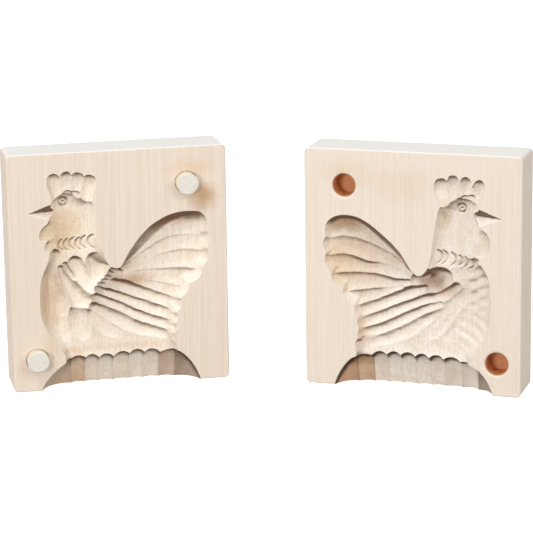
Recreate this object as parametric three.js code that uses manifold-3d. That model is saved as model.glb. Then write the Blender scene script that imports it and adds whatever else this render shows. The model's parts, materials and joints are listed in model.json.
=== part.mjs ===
// Butter mould of pale wood in two halves. The pin half carries two dowel pins and the
// socket half has the two holes that they enter. Each face is carved with one side of a
// hen on a fluted nest, hollow, and the nest is open underneath for filling and pressing.
//
// Millimetres, +Z up. The halves stand on the floor like an open book, their carved faces
// turned towards -Y and towards each other. The origin is on the floor, under the middle.
//
// Each half is made on a plan of its carved face: u runs from the outer edge to the inner
// edge, v runs up from the foot, and depth goes into the wood. The socket half is mirrored.

import * as THREE from 'three';
import { mergeVertices } from 'three/addons/utils/BufferGeometryUtils.js';
import Module from 'manifold-3d';

// Blocks
const BLOCK_WIDTH = 110;
const BLOCK_HEIGHT = 121;
const BLOCK_THICKNESS = 25;
const CORNER_RADIUS = 2.5;
const EDGE_ROUND = 0.8;
const EDGE_STEPS = 2;
const CORNER_STEPS = 3;

// How the halves stand: the fold line is the upright line that the socket half turns about
// to close on the pin half, and the gap is the room left between the closed faces.
const OPEN_TURN = THREE.MathUtils.degToRad(15);
const FOLD_TO_BLOCK = 20.3;
const FOLD_AHEAD_OF_FACE = 5;
const CLOSED_GAP = 0.3;

// Pins and their holes
const PIN_DIAMETER = 11;
const PIN_PROUD = 5;
const PIN_SEATED = 12;
const PIN_TIP_CHAMFER = 0.5;
const PIN_GLUE_LINE = 0.3;
const SOCKET_FREEDOM = 0.14;
const SOCKET_DEPTH = 12;
const ROUND_SIDES = 32;

// Nest recess: an arch that is open at the foot, with upright flutes on its back wall
const NEST_LEFT = 14;
const NEST_RIGHT = 95;
const NEST_DEPTH = 13;
const NEST_END_RUN = 20;
const NEST_LEAN = 0.02;
const NEST_TOOL_HEIGHT = 30;
const FLUTE_RIDGE = 1.6;
const HOLLOW_ROUNDNESS = 0.7;
const NEST_ARCH_ROUNDNESS = 1.4;
const FLUTE_STEPS = 6;
const ARCH_END_STEPS = 10;

// The plan on which the carving is drawn. It stretches with the block.
const PLAN_WIDTH = 110;
const PLAN_HEIGHT = 121;
const PLAN_STEP = 1.6;
const RIDGE_SOFTNESS = 0.3;
const WALL_FILLET = 0.3;
const WALL_DEPTH = 9;
const SHORTEST_RUN = 2.5;
const FEATHER_SKEW = 0.3;
const CARVED_AREA = { left: 7, right: 103, foot: 9, top: 114 };
const TOOL_ABOVE_FACE = 8;
const STEPS_PER_SPAN = 4;

// How far a cut starts outside the wood, and how near two corners must be to be one
const PASS_OVER = 1;
const SAME_CORNER = 1e-4;

const UPPER_PIN_PLACE = [89.7, 102.7];
const LOWER_PIN_PLACE = [12.2, 16.5];
const PIN_PLACES = [UPPER_PIN_PLACE, LOWER_PIN_PLACE];

// The carving is a list of regions, and the deepest one counts. A region has an outline and
// gouge strokes inside it.
//
// An outline is a list of curves that meet in corners, each through points [u, v, run]. It
// limits the depth to WALL_DEPTH * (1 - (1 - distance / run) ^ 2), so that a short run makes
// a steep wall. No outline means no limit.
//
// A stroke is a list of points [u, v, half width, depth] along its middle. Its bed is
// depth * (1 - (distance / half width) ^ section), so a section of 1 is a V, 2 is a round
// gouge and more has a flatter bed. Skew makes it narrower on the left of its way, and wider
// on the right. The wood left between two strokes is a ridge.
const PIN_HALF_COMB_OUTLINE = [
  [[24, 93, 3], [21.6, 95.8, 3], [21.2, 98.5, 2.5], [19.8, 102, 2.5], [19.3, 105.6, 3],
   [20.2, 108.5, 3], [22.5, 109.7, 2.4], [24.7, 109, 2.4], [25.8, 107.5, 2.4]],
  [[25.8, 107.5, 2.4], [27.1, 109.6, 2.2], [29, 110.5, 2.2], [30.8, 109.9, 2.2], [31.8, 108.2, 2.4]],
  [[31.8, 108.2, 2.4], [33, 109.4, 2.2], [34.8, 109.7, 2.2], [36.8, 109, 2.4], [38, 107.4, 2.6]],
  [[38, 107.4, 2.6], [39.3, 108.2, 2.4], [41, 108.1, 2.4], [43.2, 107, 3], [44.2, 105.2, 5],
   [43.7, 102, 9], [42.6, 98.5, 9], [41.6, 95, 8], [38, 93, 6]],
  [[38, 93, 6], [24, 93, 3]],
];
const PIN_HALF_BODY_OUTLINE = [
  // Crest, back of the neck, and the tail's upper edge
  [[21, 94.4, 3], [23.4, 96.6, 2.4], [26, 98.4, 2], [28.6, 99.5, 1.8], [31, 99.7, 1.8], [33.5, 99, 1.8],
   [36, 97.6, 2], [39, 96.2, 3], [41.8, 95, 8], [42.8, 91, 14], [43.8, 86, 16], [44.5, 80, 16],
   [45.3, 74, 15], [46.6, 68, 12], [48.4, 63, 7], [50.6, 60.6, 3.6], [53.5, 59.8, 3], [55.6, 61, 4],
   [57.8, 65, 8], [60.2, 68.9, 11], [65, 75, 13], [70, 80, 13], [75, 83.2, 12], [80, 85.5, 10.5],
   [85, 86.7, 9.5], [90, 87, 8.5], [95, 86.4, 8], [97.4, 84.8, 9], [99, 82.3, 11], [99.7, 79.5, 14],
   [99.4, 76, 16]],
  // Tips of the tail feathers
  [[99.4, 76, 16], [100.4, 73.4, 16], [100.4, 70.4, 16], [99.1, 67.2, 16]],
  [[99.1, 67.2, 16], [99.9, 64.5, 16], [99.2, 61, 16], [96.7, 57.9, 16]],
  [[96.7, 57.9, 16], [96.2, 54.6, 16], [93.8, 51.3, 16], [90.2, 49.6, 16]],
  [[90.2, 49.6, 16], [89.3, 46.6, 16], [87.4, 43.8, 16], [84.6, 42.2, 14]],
  // Tips of the wing feathers
  [[84.6, 42.2, 10], [85.6, 40.2, 14], [85.2, 37.4, 16], [82.6, 34.8, 14]],
  [[82.6, 34.8, 10], [83.5, 32.9, 14], [83.3, 30.9, 16], [82, 29.2, 14]],
  [[82, 29.2, 10], [82.8, 27.4, 14], [82.6, 25.6, 16], [81.4, 24, 14]],
  [[81.4, 24, 10], [82.1, 22.3, 12], [82.2, 20, 9], [82.7, 17, 6], [83.2, 13, 5], [83.2, 9.5, 5]],
  // Foot, breast, wattles
  [[83.2, 9.5, 5], [26, 9.5, 5]],
  [[26, 9.5, 5], [25.7, 15.5, 6], [24.6, 18.4, 8], [22.3, 21.8, 9], [19.8, 25.2, 9], [17.4, 29.2, 9],
   [15.5, 33.6, 8], [14.3, 38.6, 7], [14, 45, 7], [14.4, 52, 7], [15.4, 57.4, 7], [17.2, 61.8, 7],
   [18.8, 65.6, 7], [19.7, 69.8, 7]],
  [[19.7, 69.8, 8], [17.8, 70.8, 8], [17.1, 72.8, 8], [17.8, 74.6, 7], [18.8, 75.6, 7]],
  [[18.8, 75.6, 7], [16.4, 75.6, 7], [14.9, 76.8, 6], [14.8, 79.4, 5], [16.2, 82.2, 4],
   [19.2, 84.8, 3.5]],
  [[19.2, 84.8, 4], [20, 87, 5], [21.2, 89, 5], [21.6, 91, 4], [20.7, 92.6, 3], [21, 94.4, 3]],
];
const PIN_HALF_HEN = [
  // Comb
  { outline: PIN_HALF_COMB_OUTLINE, gouges: [
    { section: 2, skew: 0, strokes: [
      [[25.6, 94, 5.4, 2.5], [23.8, 101, 5.4, 2.9], [23, 106, 5, 3.2]],
      [[29.2, 97, 5.4, 2.5], [29.2, 103, 5.4, 2.9], [29.3, 106.6, 5, 3.2]],
      [[33, 97, 5.4, 2.5], [34, 102, 5.4, 2.9], [35.2, 106, 5, 3.2]],
      [[37.6, 95, 5.4, 2.5], [39.6, 101, 5.8, 2.9], [41.2, 104.6, 5, 3.2]],
    ] },
  ] },
  // Beak, and two small arcs over the crest
  { outline: null, gouges: [
    { section: 1, skew: 0, strokes: [[[10, 90, 0.3, 0.2], [21.8, 89.8, 4.5, 4.6]]] },
    { section: 6, skew: 0, strokes: [[[29.6, 98.2, 3, 3.4],
                                      [30.2, 98, 3, 3.4]], [[33.4, 97.6, 3, 3.4],
                                                            [34, 97.4, 3, 3.4]]] },
  ] },
  { outline: PIN_HALF_BODY_OUTLINE, gouges: [
    // Wattles
    { section: 2.2, skew: 0, strokes: [
      [[23, 81.5, 7, 3.6], [18.8, 78.6, 7, 3.2]],
      [[24, 74, 6, 3.4], [20.4, 72.6, 6, 3]],
    ] },
    // Head and neck
    { section: 3, skew: 0, strokes: [
      [[29, 93, 9, 5], [31.5, 86, 13, 5.6], [33, 78, 13.5, 5.6], [34, 70, 14.5, 4.8],
       [35, 64, 15, 4.2]],
    ] },
    // Breast
    { section: 2.2, skew: 0, strokes: [
      [[23.2, 67, 6, 5.2], [20.2, 58, 6.6, 6.6], [20.4, 50, 8, 7.2], [21.6, 43.6, 9.4, 7.5],
       [23, 38, 8.6, 7.2]],
      [[21.6, 40, 9, 7], [22.4, 34, 9.6, 7], [24.2, 28.6, 9, 6.7], [27.4, 24.4, 6.6, 5.8],
       [28.6, 22.4, 5, 4.8]],
    ] },
    { section: 2.4, skew: -0.3, strokes: [[[25, 60, 3, 6.6], [27.2, 54, 4.8, 7.6], [30.4, 48, 6, 8],
                                           [33.2, 42.4, 6.6, 7.4]]] },
    { section: 2.2, skew: 0, strokes: [[[27.8, 62.2, 2.4, 6.4], [29.8, 58.4, 3, 7.2],
                                        [32, 55, 2.6, 7.2]]] },
    // Belly
    { section: 2.2, skew: 0, strokes: [
      [[33.4, 39, 5, 5.8], [33.6, 35, 8.6, 6.9], [34, 31, 10, 7.1], [36, 26, 9, 6.5],
       [36.6, 22.6, 6, 5.4]],
      [[41, 35.6, 5.6, 6.6], [47.4, 29.4, 9, 7.2], [52.8, 25, 8, 6.6], [57, 22, 5, 5.4]],
    ] },
    // Shoulder
    { section: 2.8, skew: 0, strokes: [
      [[32.8, 62.8, 5.4, 7.2], [34.8, 58, 6, 7], [37.2, 53.4, 5.2, 6.2], [38.8, 50, 3, 5.2]],
      [[42.4, 63.4, 5.8, 7.4], [42.8, 59.6, 6.6, 7], [41.6, 55.4, 6, 6.2], [39.6, 51.6, 3.8, 5.4]],
    ] },
    // Starts of the wing's cuts, below the shoulder's ragged edge
    { section: 2.4, skew: 0, strokes: [
      [[43.2, 49.2, 1.8, 7], [45.4, 48.2, 2.2, 7.6]],
      [[44.8, 51, 1.8, 7.4], [47.2, 50, 2.2, 8]],
      [[46.8, 52.6, 1.9, 7.8], [49, 51.6, 2.2, 8.4]],
      [[48.6, 54.4, 2, 8.2], [50.6, 53.2, 2.4, 8.8]],
      [[50.2, 56.2, 2.4, 8.4], [52.2, 55, 2.6, 9]],
      [[52.6, 57.4, 4, 8.4], [55, 55.6, 4, 8.8]],
    ] },
    // Wing
    { section: 2, skew: 0, strokes: [
      [[49.6, 51.6, 4, 8.8], [56, 49.2, 6, 9], [61, 47.1, 6.6, 8.7], [66, 45.2, 6.6, 8],
       [71, 43.4, 6.6, 7.1], [76, 41.5, 6.6, 6.1], [80.5, 39.4, 6.4, 4.8], [84.8, 38, 6, 3.2]],
      [[45.6, 47.6, 3.4, 8], [51, 45.4, 4.6, 8.3], [56, 43.4, 5.4, 8.4], [61, 40.9, 6, 8.1],
       [66, 38.9, 6.4, 7.5], [71, 36.7, 6.4, 6.7], [76, 35, 6.4, 5.6], [82.4, 32.2, 6, 3.2]],
      [[43.4, 44.2, 4, 7.6], [49, 41.4, 4.8, 8], [56, 38.2, 5.2, 8.1], [61, 35.1, 5.4, 7.9],
       [66, 32.8, 5.4, 7.3], [71, 30.7, 5.4, 6.5], [76, 29.2, 5.6, 5.4], [81.4, 26.6, 5.6, 3.2]],
      [[42.8, 38.6, 6, 7.2], [49, 34.8, 8, 7.7], [56, 31.4, 8, 7.8], [61, 28.4, 7.4, 7.5],
       [66, 26.2, 7, 7], [71, 24.9, 6.4, 6.3], [76, 23.1, 6, 5.2], [80.6, 21.4, 5.6, 3.2]],
    ] },
    // Tail
    { section: 2.2, skew: FEATHER_SKEW, strokes: [
      [[56, 60, 5, 5.6], [61, 65.6, 9, 6.4], [67, 71.4, 9.5, 6.9], [73, 76.2, 10, 7.1], [80, 79, 10, 7],
       [87, 80, 10, 6.4], [94, 79.8, 10, 4.8]],
      [[57, 58, 5.6, 6.2], [68, 64.2, 9.5, 6.9], [75, 68.4, 9.5, 6.8], [81.5, 71.4, 9.5, 6.4],
       [88, 72.4, 9.5, 5.5], [96, 71.8, 9, 3.6]],
      [[58, 57, 5.6, 6.4], [72, 61.3, 9.5, 6.8], [80, 63.4, 9.5, 6.2], [88, 64.2, 9, 5.1],
       [95.5, 63.2, 8.6, 3.4]],
      [[58, 55, 5.6, 6.4], [68, 55.2, 9, 6.8], [76, 55, 9, 6.3], [84, 54.6, 9, 5.2],
       [92, 53.6, 8.6, 3.4]],
      [[62, 52, 6, 6.4], [70, 50, 8, 6.4], [77, 48, 8, 5.5], [85, 46.4, 8, 3.6]],
    ] },
    // Strip above the nest
    { section: 2, skew: 0, strokes: [[[30, 22, 20, 5.4], [56, 22, 20, 5.8], [68, 21, 18, 5],
                                      [80, 19, 14, 3.8]]] },
  ] },
];

const SOCKET_HALF_COMB_OUTLINE = [
  [[24, 92, 4], [21.8, 95.4, 6], [19.7, 99.4, 6], [18.4, 103, 5], [18.5, 106, 3], [20.5, 108.2, 2.4],
   [23, 107.4, 2.4], [25, 104.2, 2.4]],
  [[25, 104.2, 2.4], [25.3, 107.4, 2.4], [27.5, 109.4, 2.2], [29.8, 108.7, 2.2], [30.9, 106.7, 2.4]],
  [[30.9, 106.7, 2.4], [32, 109, 2.2], [34, 109.9, 2.2], [36.3, 109.2, 2.2], [37.3, 106.8, 2.4]],
  [[37.3, 106.8, 2.4], [38.5, 108, 2.4], [40.2, 108.2, 2.4], [42.4, 107.4, 2.4], [43.8, 105, 3],
   [43.8, 102, 5], [42.6, 98, 6], [40.8, 94, 5], [38, 92, 4]],
  [[38, 92, 4], [24, 92, 4]],
];
const SOCKET_HALF_BODY_OUTLINE = [
  // Crest, back of the neck, and the tail's upper edge
  [[21.5, 93.7, 3], [23.8, 96.2, 2.4], [26.8, 97.7, 2], [30, 98.2, 1.8]],
  [[30, 98.2, 1.8], [31.6, 98.7, 1.6], [33.6, 97.8, 1.6], [36, 96.1, 1.8], [38.4, 94.8, 2.4],
   [40.3, 94.2, 5], [42, 90.5, 9], [43.1, 85, 9], [44, 79, 8], [44.7, 74, 7], [45.3, 69, 6],
   [46.4, 64, 4.6], [48, 61, 3.6], [49.5, 59.2, 3], [51.2, 58.4, 3], [53.2, 59, 3.6], [56, 61.9, 6],
   [60, 68.4, 8], [65, 74, 9], [71, 79.2, 9], [75, 82.3, 8.4], [78, 84.3, 8], [82, 86.3, 7.6],
   [86, 87.2, 7.2], [90, 87.3, 7], [94, 86.4, 7], [97, 84.5, 7.4], [98.8, 82, 8], [99.4, 78.5, 9],
   [99.3, 75.4, 9]],
  // Tips of the tail feathers
  [[99.3, 75.4, 8], [100.4, 72.6, 9], [99.9, 69.4, 10], [98.8, 67, 12]],
  [[98.8, 67, 8], [99.6, 65, 9], [99.2, 62, 10], [96, 57.6, 14]],
  [[96, 57.6, 8], [96.2, 55.4, 10], [94.2, 51.6, 14], [90.2, 49.2, 14]],
  [[90.2, 49.2, 8], [90.2, 47.2, 10], [88, 43.8, 14], [84.2, 41.4, 12]],
  // Tips of the wing feathers
  [[84.2, 41.4, 7], [84.3, 38.6, 8], [82.7, 34.8, 10]],
  [[82.7, 34.8, 7], [83, 32.2, 8], [82.1, 29, 10]],
  [[82.1, 29, 7], [82.8, 26.8, 8], [82.6, 24.2, 10]],
  [[82.6, 24.2, 7], [83.9, 22.4, 8], [83.9, 20, 8], [83.4, 17, 6], [83.8, 13, 5], [83.8, 9.5, 5]],
  // Foot, breast, wattle
  [[83.8, 9.5, 5], [26, 9.5, 5]],
  [[26, 9.5, 5], [26, 16.6, 7], [24, 19.8, 10], [21, 23.6, 12], [18, 28.6, 12], [16, 33.6, 12],
   [15.3, 39, 12], [15, 44, 12], [14.9, 49, 12], [15.2, 54, 12], [16, 58, 11], [17.5, 61.6, 10],
   [19, 64, 9], [20.4, 65.6, 8]],
  [[20.4, 65.6, 8], [18.4, 69.2, 9], [16.7, 72, 10], [15.8, 74.8, 10], [15.7, 77.6, 8], [16.5, 80.2, 5],
   [18.2, 82.4, 4], [20.8, 84, 3.5]],
  [[20.8, 84, 4], [22, 87, 5], [23.4, 89.4, 5], [23.6, 91, 4], [22, 92.2, 3], [21.5, 93.7, 3]],
];
const SOCKET_HALF_HEN = [
  // Comb
  { outline: SOCKET_HALF_COMB_OUTLINE, gouges: [
    { section: 2, skew: 0, strokes: [
      [[25, 93, 5.4, 2.5], [22.4, 100, 5, 2.9], [21.2, 104.6, 4.4, 3.2]],
      [[27.8, 97, 5.4, 2.5], [27.8, 102, 5, 2.9], [27.8, 105.8, 4.4, 3.2]],
      [[33.4, 97, 5.4, 2.5], [34.2, 102, 5.2, 2.9], [34.4, 106.2, 4.8, 3.2]],
      [[37.6, 95, 5.4, 2.5], [39.4, 100.5, 5.2, 2.9], [40.7, 104.4, 4.8, 3.2]],
    ] },
  ] },
  // Beak, and two small arcs over the crest
  { outline: null, gouges: [
    { section: 1, skew: 0, strokes: [[[10.4, 89, 0.3, 0.2], [22.6, 89.2, 4.7, 4.8]]] },
    { section: 6, skew: 0, strokes: [[[25.4, 98, 2.7, 3.4],
                                      [25.8, 98, 2.7, 3.4]], [[28.4, 97.6, 2.7, 3.4],
                                                              [28.8, 97.6, 2.7, 3.4]]] },
  ] },
  { outline: SOCKET_HALF_BODY_OUTLINE, gouges: [
    // Wattle
    { section: 2.2, skew: 0, strokes: [[[24, 80, 7, 3.6], [20, 76.5, 7, 3.3], [22, 70.6, 6, 3.4]]] },
    // Head and neck
    { section: 3, skew: 0, strokes: [
      [[29, 92, 9, 5], [31.5, 85, 13, 5.6], [33, 77, 13, 5.6], [34, 70, 13.5, 5], [35, 65, 12, 4.6]],
    ] },
    // Breast, in rows
    { section: 2.2, skew: 0, strokes: [
      [[25, 63.4, 8, 5.1], [32, 63.8, 8, 5.6]],
      [[22.4, 58.4, 11, 5.9], [30, 59.2, 11, 6.3]],
      [[21.6, 52.8, 12, 6.3], [28, 53.8, 12, 6.7]],
      [[21.4, 46.8, 12, 6.5], [26, 48, 12, 6.9]],
      [[21.4, 40.8, 12, 6.5], [25.6, 42.4, 12, 6.9]],
      [[22, 34.8, 12, 6.4], [26, 36.6, 12, 6.8]],
      [[23.6, 29.2, 11, 6], [28, 31, 11, 6.5]],
      [[26.4, 24.4, 9, 5.5], [31, 25.6, 9, 6]],
    ] },
    // Belly
    { section: 2.2, skew: 0, strokes: [
      [[28, 51, 8, 7], [33, 45.4, 10, 7.5], [38.4, 38.4, 11, 7.5], [45.4, 30, 11, 7], [53, 24.4, 9, 6]],
      [[30, 38, 10, 7], [35, 30, 12, 6.8], [40, 24.4, 9, 5.8]],
    ] },
    // Round scoop on the back, and the pit beside it
    { section: 2.6, skew: 0, strokes: [[[40.8, 56.4, 8, 8.9], [44.4, 53.4, 8, 9.2]]] },
    { section: 2, skew: 0, strokes: [[[47.6, 56.6, 6, 7.4], [54, 54.8, 6, 8.2]]] },
    // Wing
    { section: 2, skew: 0, strokes: [
      [[49.4, 50.6, 4, 8.6], [57, 48.2, 6, 8.9], [61, 46.5, 6, 8.6], [66, 44.4, 6, 7.9],
       [71, 42.2, 6, 7], [76, 40.2, 6, 6], [81, 38.2, 6, 4.5], [84.2, 36.8, 5.6, 3.2]],
      [[33.4, 52.4, 4.6, 7.8], [39, 48.6, 6, 8.3], [45, 46.2, 5.6, 8.4], [51, 44.6, 5, 8.4],
       [61, 40.3, 5.6, 8], [66, 37.9, 6, 7.4], [71, 35.7, 6, 6.6], [76, 33.8, 6, 5.5],
       [82.4, 31.4, 5.6, 3.2]],
      [[42, 43, 5.4, 7.4], [46.4, 41.6, 5.2, 7.8], [51, 39.6, 5, 8.1], [58, 35.8, 6, 8],
       [66, 31.7, 5.6, 7.3], [71, 29.3, 5.6, 6.5], [76, 27.7, 5.4, 5.4], [82.2, 25.8, 5.2, 3.2]],
      [[38, 40.6, 6, 7.1], [44, 37.4, 6.4, 7.5], [51, 33.4, 7, 7.8], [58, 28.8, 8, 7.5],
       [66, 25, 7.6, 6.8], [74, 22.2, 6.6, 5.4], [82.6, 20.4, 5.4, 3.2]],
    ] },
    // Tail
    { section: 2.2, skew: FEATHER_SKEW / 2, strokes: [
      [[56.6, 60.4, 4, 5.4], [61, 65.6, 7, 6.2], [66, 70.6, 9, 6.6], [72, 75.6, 10, 6.9],
       [79, 79.6, 10, 6.9], [86, 81.6, 10, 6.3], [94, 81, 9.5, 4.8]],
      [[57, 58.6, 5, 6.2], [66, 64, 9, 7], [74, 68, 9, 6.9], [82, 71, 8.6, 6.4], [90, 72.6, 8.6, 5.3],
       [96, 71.6, 8, 3.8]],
      [[57.6, 57.2, 5, 6.4], [66, 60, 7, 6.8], [72, 60.9, 7, 6.7], [79, 60.9, 6, 6.4],
       [84, 62.2, 7, 5.9], [90, 63.4, 8, 4.9], [96, 62.4, 7.6, 3.6]],
      [[58, 53.6, 4, 6.8], [66, 52.6, 6.6, 6.8], [74, 54.2, 7.6, 6.6], [81, 54.6, 7.6, 5.9],
       [87, 54.2, 7.6, 4.9], [93, 53.6, 7, 3.6]],
      [[62, 51, 4.4, 6.8], [70, 48.6, 6, 6.4], [77, 46.8, 6.8, 5.6], [86, 45.4, 6.8, 3.6]],
    ] },
    // Strip above the nest
    { section: 2, skew: 0, strokes: [[[30, 24, 15, 5.8], [56, 24, 15, 6], [70, 23, 14, 5.2],
                                      [80, 21, 12, 4]]] },
  ] },
];

// The ridges between the flutes, as (u, v, rise): where their upper ends are, which are the
// points of the scallops, and how far the next scallop rises above them
const PIN_HALF_FLUTES = [
  [30.3, 15, 1.2], [37.3, 14.4, 1.9], [44, 14, 1.9], [51.5, 14, 1.9], [59.6, 15, 1.9],
  [67.3, 15.2, 1.9], [75, 14.8, 0.6], [83.2, 16.2, 0],
];
const SOCKET_HALF_FLUTES = [
  [23, 13.4, 0.9], [31.4, 15.4, 1.7], [40, 15.8, 1.9], [47.4, 15.9, 1.9], [54.6, 16.2, 1.9],
  [62, 16.3, 1.9], [69, 16.3, 1.9], [76.6, 15.8, 0.7], [84.6, 15.2, 0],
];

// How far each hen is moved on its block from where its outline and strokes lie, as [u, v]
const PIN_HALF_HEN_SHIFT = [0.5, 1.1];
const SOCKET_HALF_HEN_SHIFT = [0.2, 0.5];

const WOOD = { pin_half: 0xe9d9c4, socket_half: 0xe7ddcf, pin: 0xf1ece6 };
const WOOD_ROUGHNESS = 0.72;

const wasm = await Module();
wasm.setup();

function toSolid(geometry) {
  const bare = geometry.clone();
  bare.deleteAttribute('normal');
  bare.deleteAttribute('uv');
  const merged = mergeVertices(bare, SAME_CORNER);
  const vertProperties = new Float32Array(merged.attributes.position.array);
  const triVerts = new Uint32Array(merged.index.array);
  return new wasm.Manifold(new wasm.Mesh({ numProp: 3, vertProperties, triVerts }));
}

function toGeometry(solid) {
  const mesh = solid.getMesh();
  const geometry = new THREE.BufferGeometry();
  geometry.setAttribute('position', new THREE.BufferAttribute(mesh.vertProperties, 3));
  geometry.setIndex(new THREE.BufferAttribute(mesh.triVerts, 1));
  geometry.computeVertexNormals();
  return geometry;
}

// From the plan to the block: x along u, y into the wood, z along v
function onBlock(u, depth, v) {
  return [u * BLOCK_WIDTH / PLAN_WIDTH, depth, v * BLOCK_HEIGHT / PLAN_HEIGHT];
}

// Block with its corners and edges rounded, standing on z = 0, its face on y = 0
function blockGeometry() {
  const reach = BLOCK_WIDTH / 2 - EDGE_ROUND;
  const rise = BLOCK_HEIGHT / 2 - EDGE_ROUND;
  const radius = CORNER_RADIUS;
  const outline = new THREE.Shape();
  outline.moveTo(-reach + radius, -rise);
  outline.lineTo(reach - radius, -rise);
  outline.absarc(reach - radius, -rise + radius, radius, -Math.PI / 2, 0);
  outline.lineTo(reach, rise - radius);
  outline.absarc(reach - radius, rise - radius, radius, 0, Math.PI / 2);
  outline.lineTo(-reach + radius, rise);
  outline.absarc(-reach + radius, rise - radius, radius, Math.PI / 2, Math.PI);
  outline.lineTo(-reach, -rise + radius);
  outline.absarc(-reach + radius, -rise + radius, radius, Math.PI, Math.PI * 1.5);
  const geometry = new THREE.ExtrudeGeometry(outline, {
    depth: BLOCK_THICKNESS - 2 * EDGE_ROUND,
    bevelEnabled: true,
    bevelThickness: EDGE_ROUND,
    bevelSize: EDGE_ROUND,
    bevelSegments: EDGE_STEPS,
    curveSegments: CORNER_STEPS
  });
  geometry.rotateX(Math.PI / 2);
  geometry.translate(BLOCK_WIDTH / 2, BLOCK_THICKNESS - EDGE_ROUND, BLOCK_HEIGHT / 2);
  return geometry;
}

// Points joined by a smooth curve through all of their numbers
function curveThrough(points) {
  const samples = [];
  const last = points.length - 1;
  for (let span = 0; span < last; span += 1) {
    const before = points[Math.max(span - 1, 0)];
    const start = points[span];
    const end = points[span + 1];
    const after = points[Math.min(span + 2, last)];
    for (let step = 0; step < STEPS_PER_SPAN; step += 1) {
      const t = step / STEPS_PER_SPAN;
      samples.push(start.map((value, i) => {
        const pull = (end[i] - before[i]) / 2;
        const push = (after[i] - value) / 2;
        const rise = end[i] - value;
        return value + t * (pull + t * (3 * rise - 2 * pull - push + t * (pull + push - 2 * rise)));
      }));
    }
  }
  samples.push(points[last]);
  return samples;
}

// How far along a straight piece a point of the plan is, from 0 to 1, its distance from the
// piece, and how far it lies left of the piece's way, from 1 on its left to -1 on its right
function fromPiece(start, end, u, v) {
  const du = end[0] - start[0];
  const dv = end[1] - start[1];
  const pu = u - start[0];
  const pv = v - start[1];
  const share = THREE.MathUtils.clamp((pu * du + pv * dv) / (du * du + dv * dv), 0, 1);
  const away = Math.hypot(pu - share * du, pv - share * dv);
  const left = away > 0 ? (du * pv - dv * pu) / (Math.hypot(du, dv) * away) : 0;
  return { share, away, left };
}

function strokeDepth({ samples, section, skew }, u, v) {
  let deepest = -Infinity;
  for (let i = 1; i < samples.length; i += 1) {
    const start = samples[i - 1];
    const end = samples[i];
    const { share, away, left } = fromPiece(start, end, u, v);
    const halfWidth = THREE.MathUtils.lerp(start[2], end[2], share) * (1 - skew * left);
    const depth = THREE.MathUtils.lerp(start[3], end[3], share);
    deepest = Math.max(deepest, depth * (1 - (away / halfWidth) ** section));
  }
  return deepest;
}

// How deep an outline lets the carving go. Outside it the wall goes on upwards at the same
// slope, so that it meets the face where the outline runs.
function wallDepth(corners, u, v) {
  let distance = Infinity;
  let run = 1;
  let inside = false;
  corners.forEach((start, i) => {
    const end = corners[(i + 1) % corners.length];
    const { share, away } = fromPiece(start, end, u, v);
    if (away < distance) {
      distance = away;
      run = Math.max(THREE.MathUtils.lerp(start[2], end[2], share), SHORTEST_RUN);
    }
    if ((v >= start[1]) !== (v >= end[1])) {
      const crossing = start[0] + (v - start[1]) * (end[0] - start[0]) / (end[1] - start[1]);
      inside = inside !== (u < crossing);
    }
  });
  const steps = distance / run;
  return inside ? WALL_DEPTH * (1 - (1 - Math.min(steps, 1)) ** 2) : -2 * WALL_DEPTH * steps;
}

// The deepest of some depths, with the ridges between them a little worn
function deepestOf(depths, softness) {
  return softness * Math.log(depths.reduce((sum, depth) => sum + Math.exp(depth / softness), 0));
}

function carvedDepth(regions, u, v) {
  const depths = regions.map(({ corners, gouges }) => {
    const bed = deepestOf(gouges.map((gouge) => strokeDepth(gouge, u, v)), RIDGE_SOFTNESS);
    return corners ? -deepestOf([-bed, -wallDepth(corners, u, v)], WALL_FILLET) : bed;
  });
  return deepestOf([...depths, PASS_OVER - TOOL_ABOVE_FACE], RIDGE_SOFTNESS);
}

// A hen's regions with their curves worked out
function regionsOf(hen) {
  return hen.map(({ outline, gouges }) => ({
    corners: outline && outline.flatMap((curve) => curveThrough(curve).slice(0, -1)),
    gouges: gouges.flatMap(({ section, skew, strokes }) =>
      strokes.map((points) => ({ samples: curveThrough(points), section, skew })))
  }));
}

// Two grids sewn together along their rims: a level one in front of the face, and the
// bed of the carving behind it, which rises out of the wood round the outline
function hollowGeometry(hen, [shiftU, shiftV]) {
  const regions = regionsOf(hen);
  const columns = Math.round((CARVED_AREA.right - CARVED_AREA.left) / PLAN_STEP);
  const rows = Math.round((CARVED_AREA.top - CARVED_AREA.foot) / PLAN_STEP);
  const planPoint = (column, row) => [
    THREE.MathUtils.lerp(CARVED_AREA.left, CARVED_AREA.right, column / columns),
    THREE.MathUtils.lerp(CARVED_AREA.foot, CARVED_AREA.top, row / rows)
  ];
  const level = [];
  const bed = [];
  const depths = [];
  for (let row = 0; row <= rows; row += 1) {
    for (let column = 0; column <= columns; column += 1) {
      const [u, v] = planPoint(column, row);
      const depth = carvedDepth(regions, u - shiftU, v - shiftV);
      depths.push(depth);
      level.push(...onBlock(u, -TOOL_ABOVE_FACE, v));
      bed.push(...onBlock(u, depth, v));
    }
  }
  const middleDepth = (column, row) => {
    const [u, v] = planPoint(column + 0.5, row + 0.5);
    return carvedDepth(regions, u - shiftU, v - shiftV);
  };
  const geometry = new THREE.BufferGeometry();
  geometry.setAttribute('position', new THREE.Float32BufferAttribute([...level, ...bed], 3));
  geometry.setIndex(sewnGrids(columns, rows, depths, middleDepth));
  return geometry;
}

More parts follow.
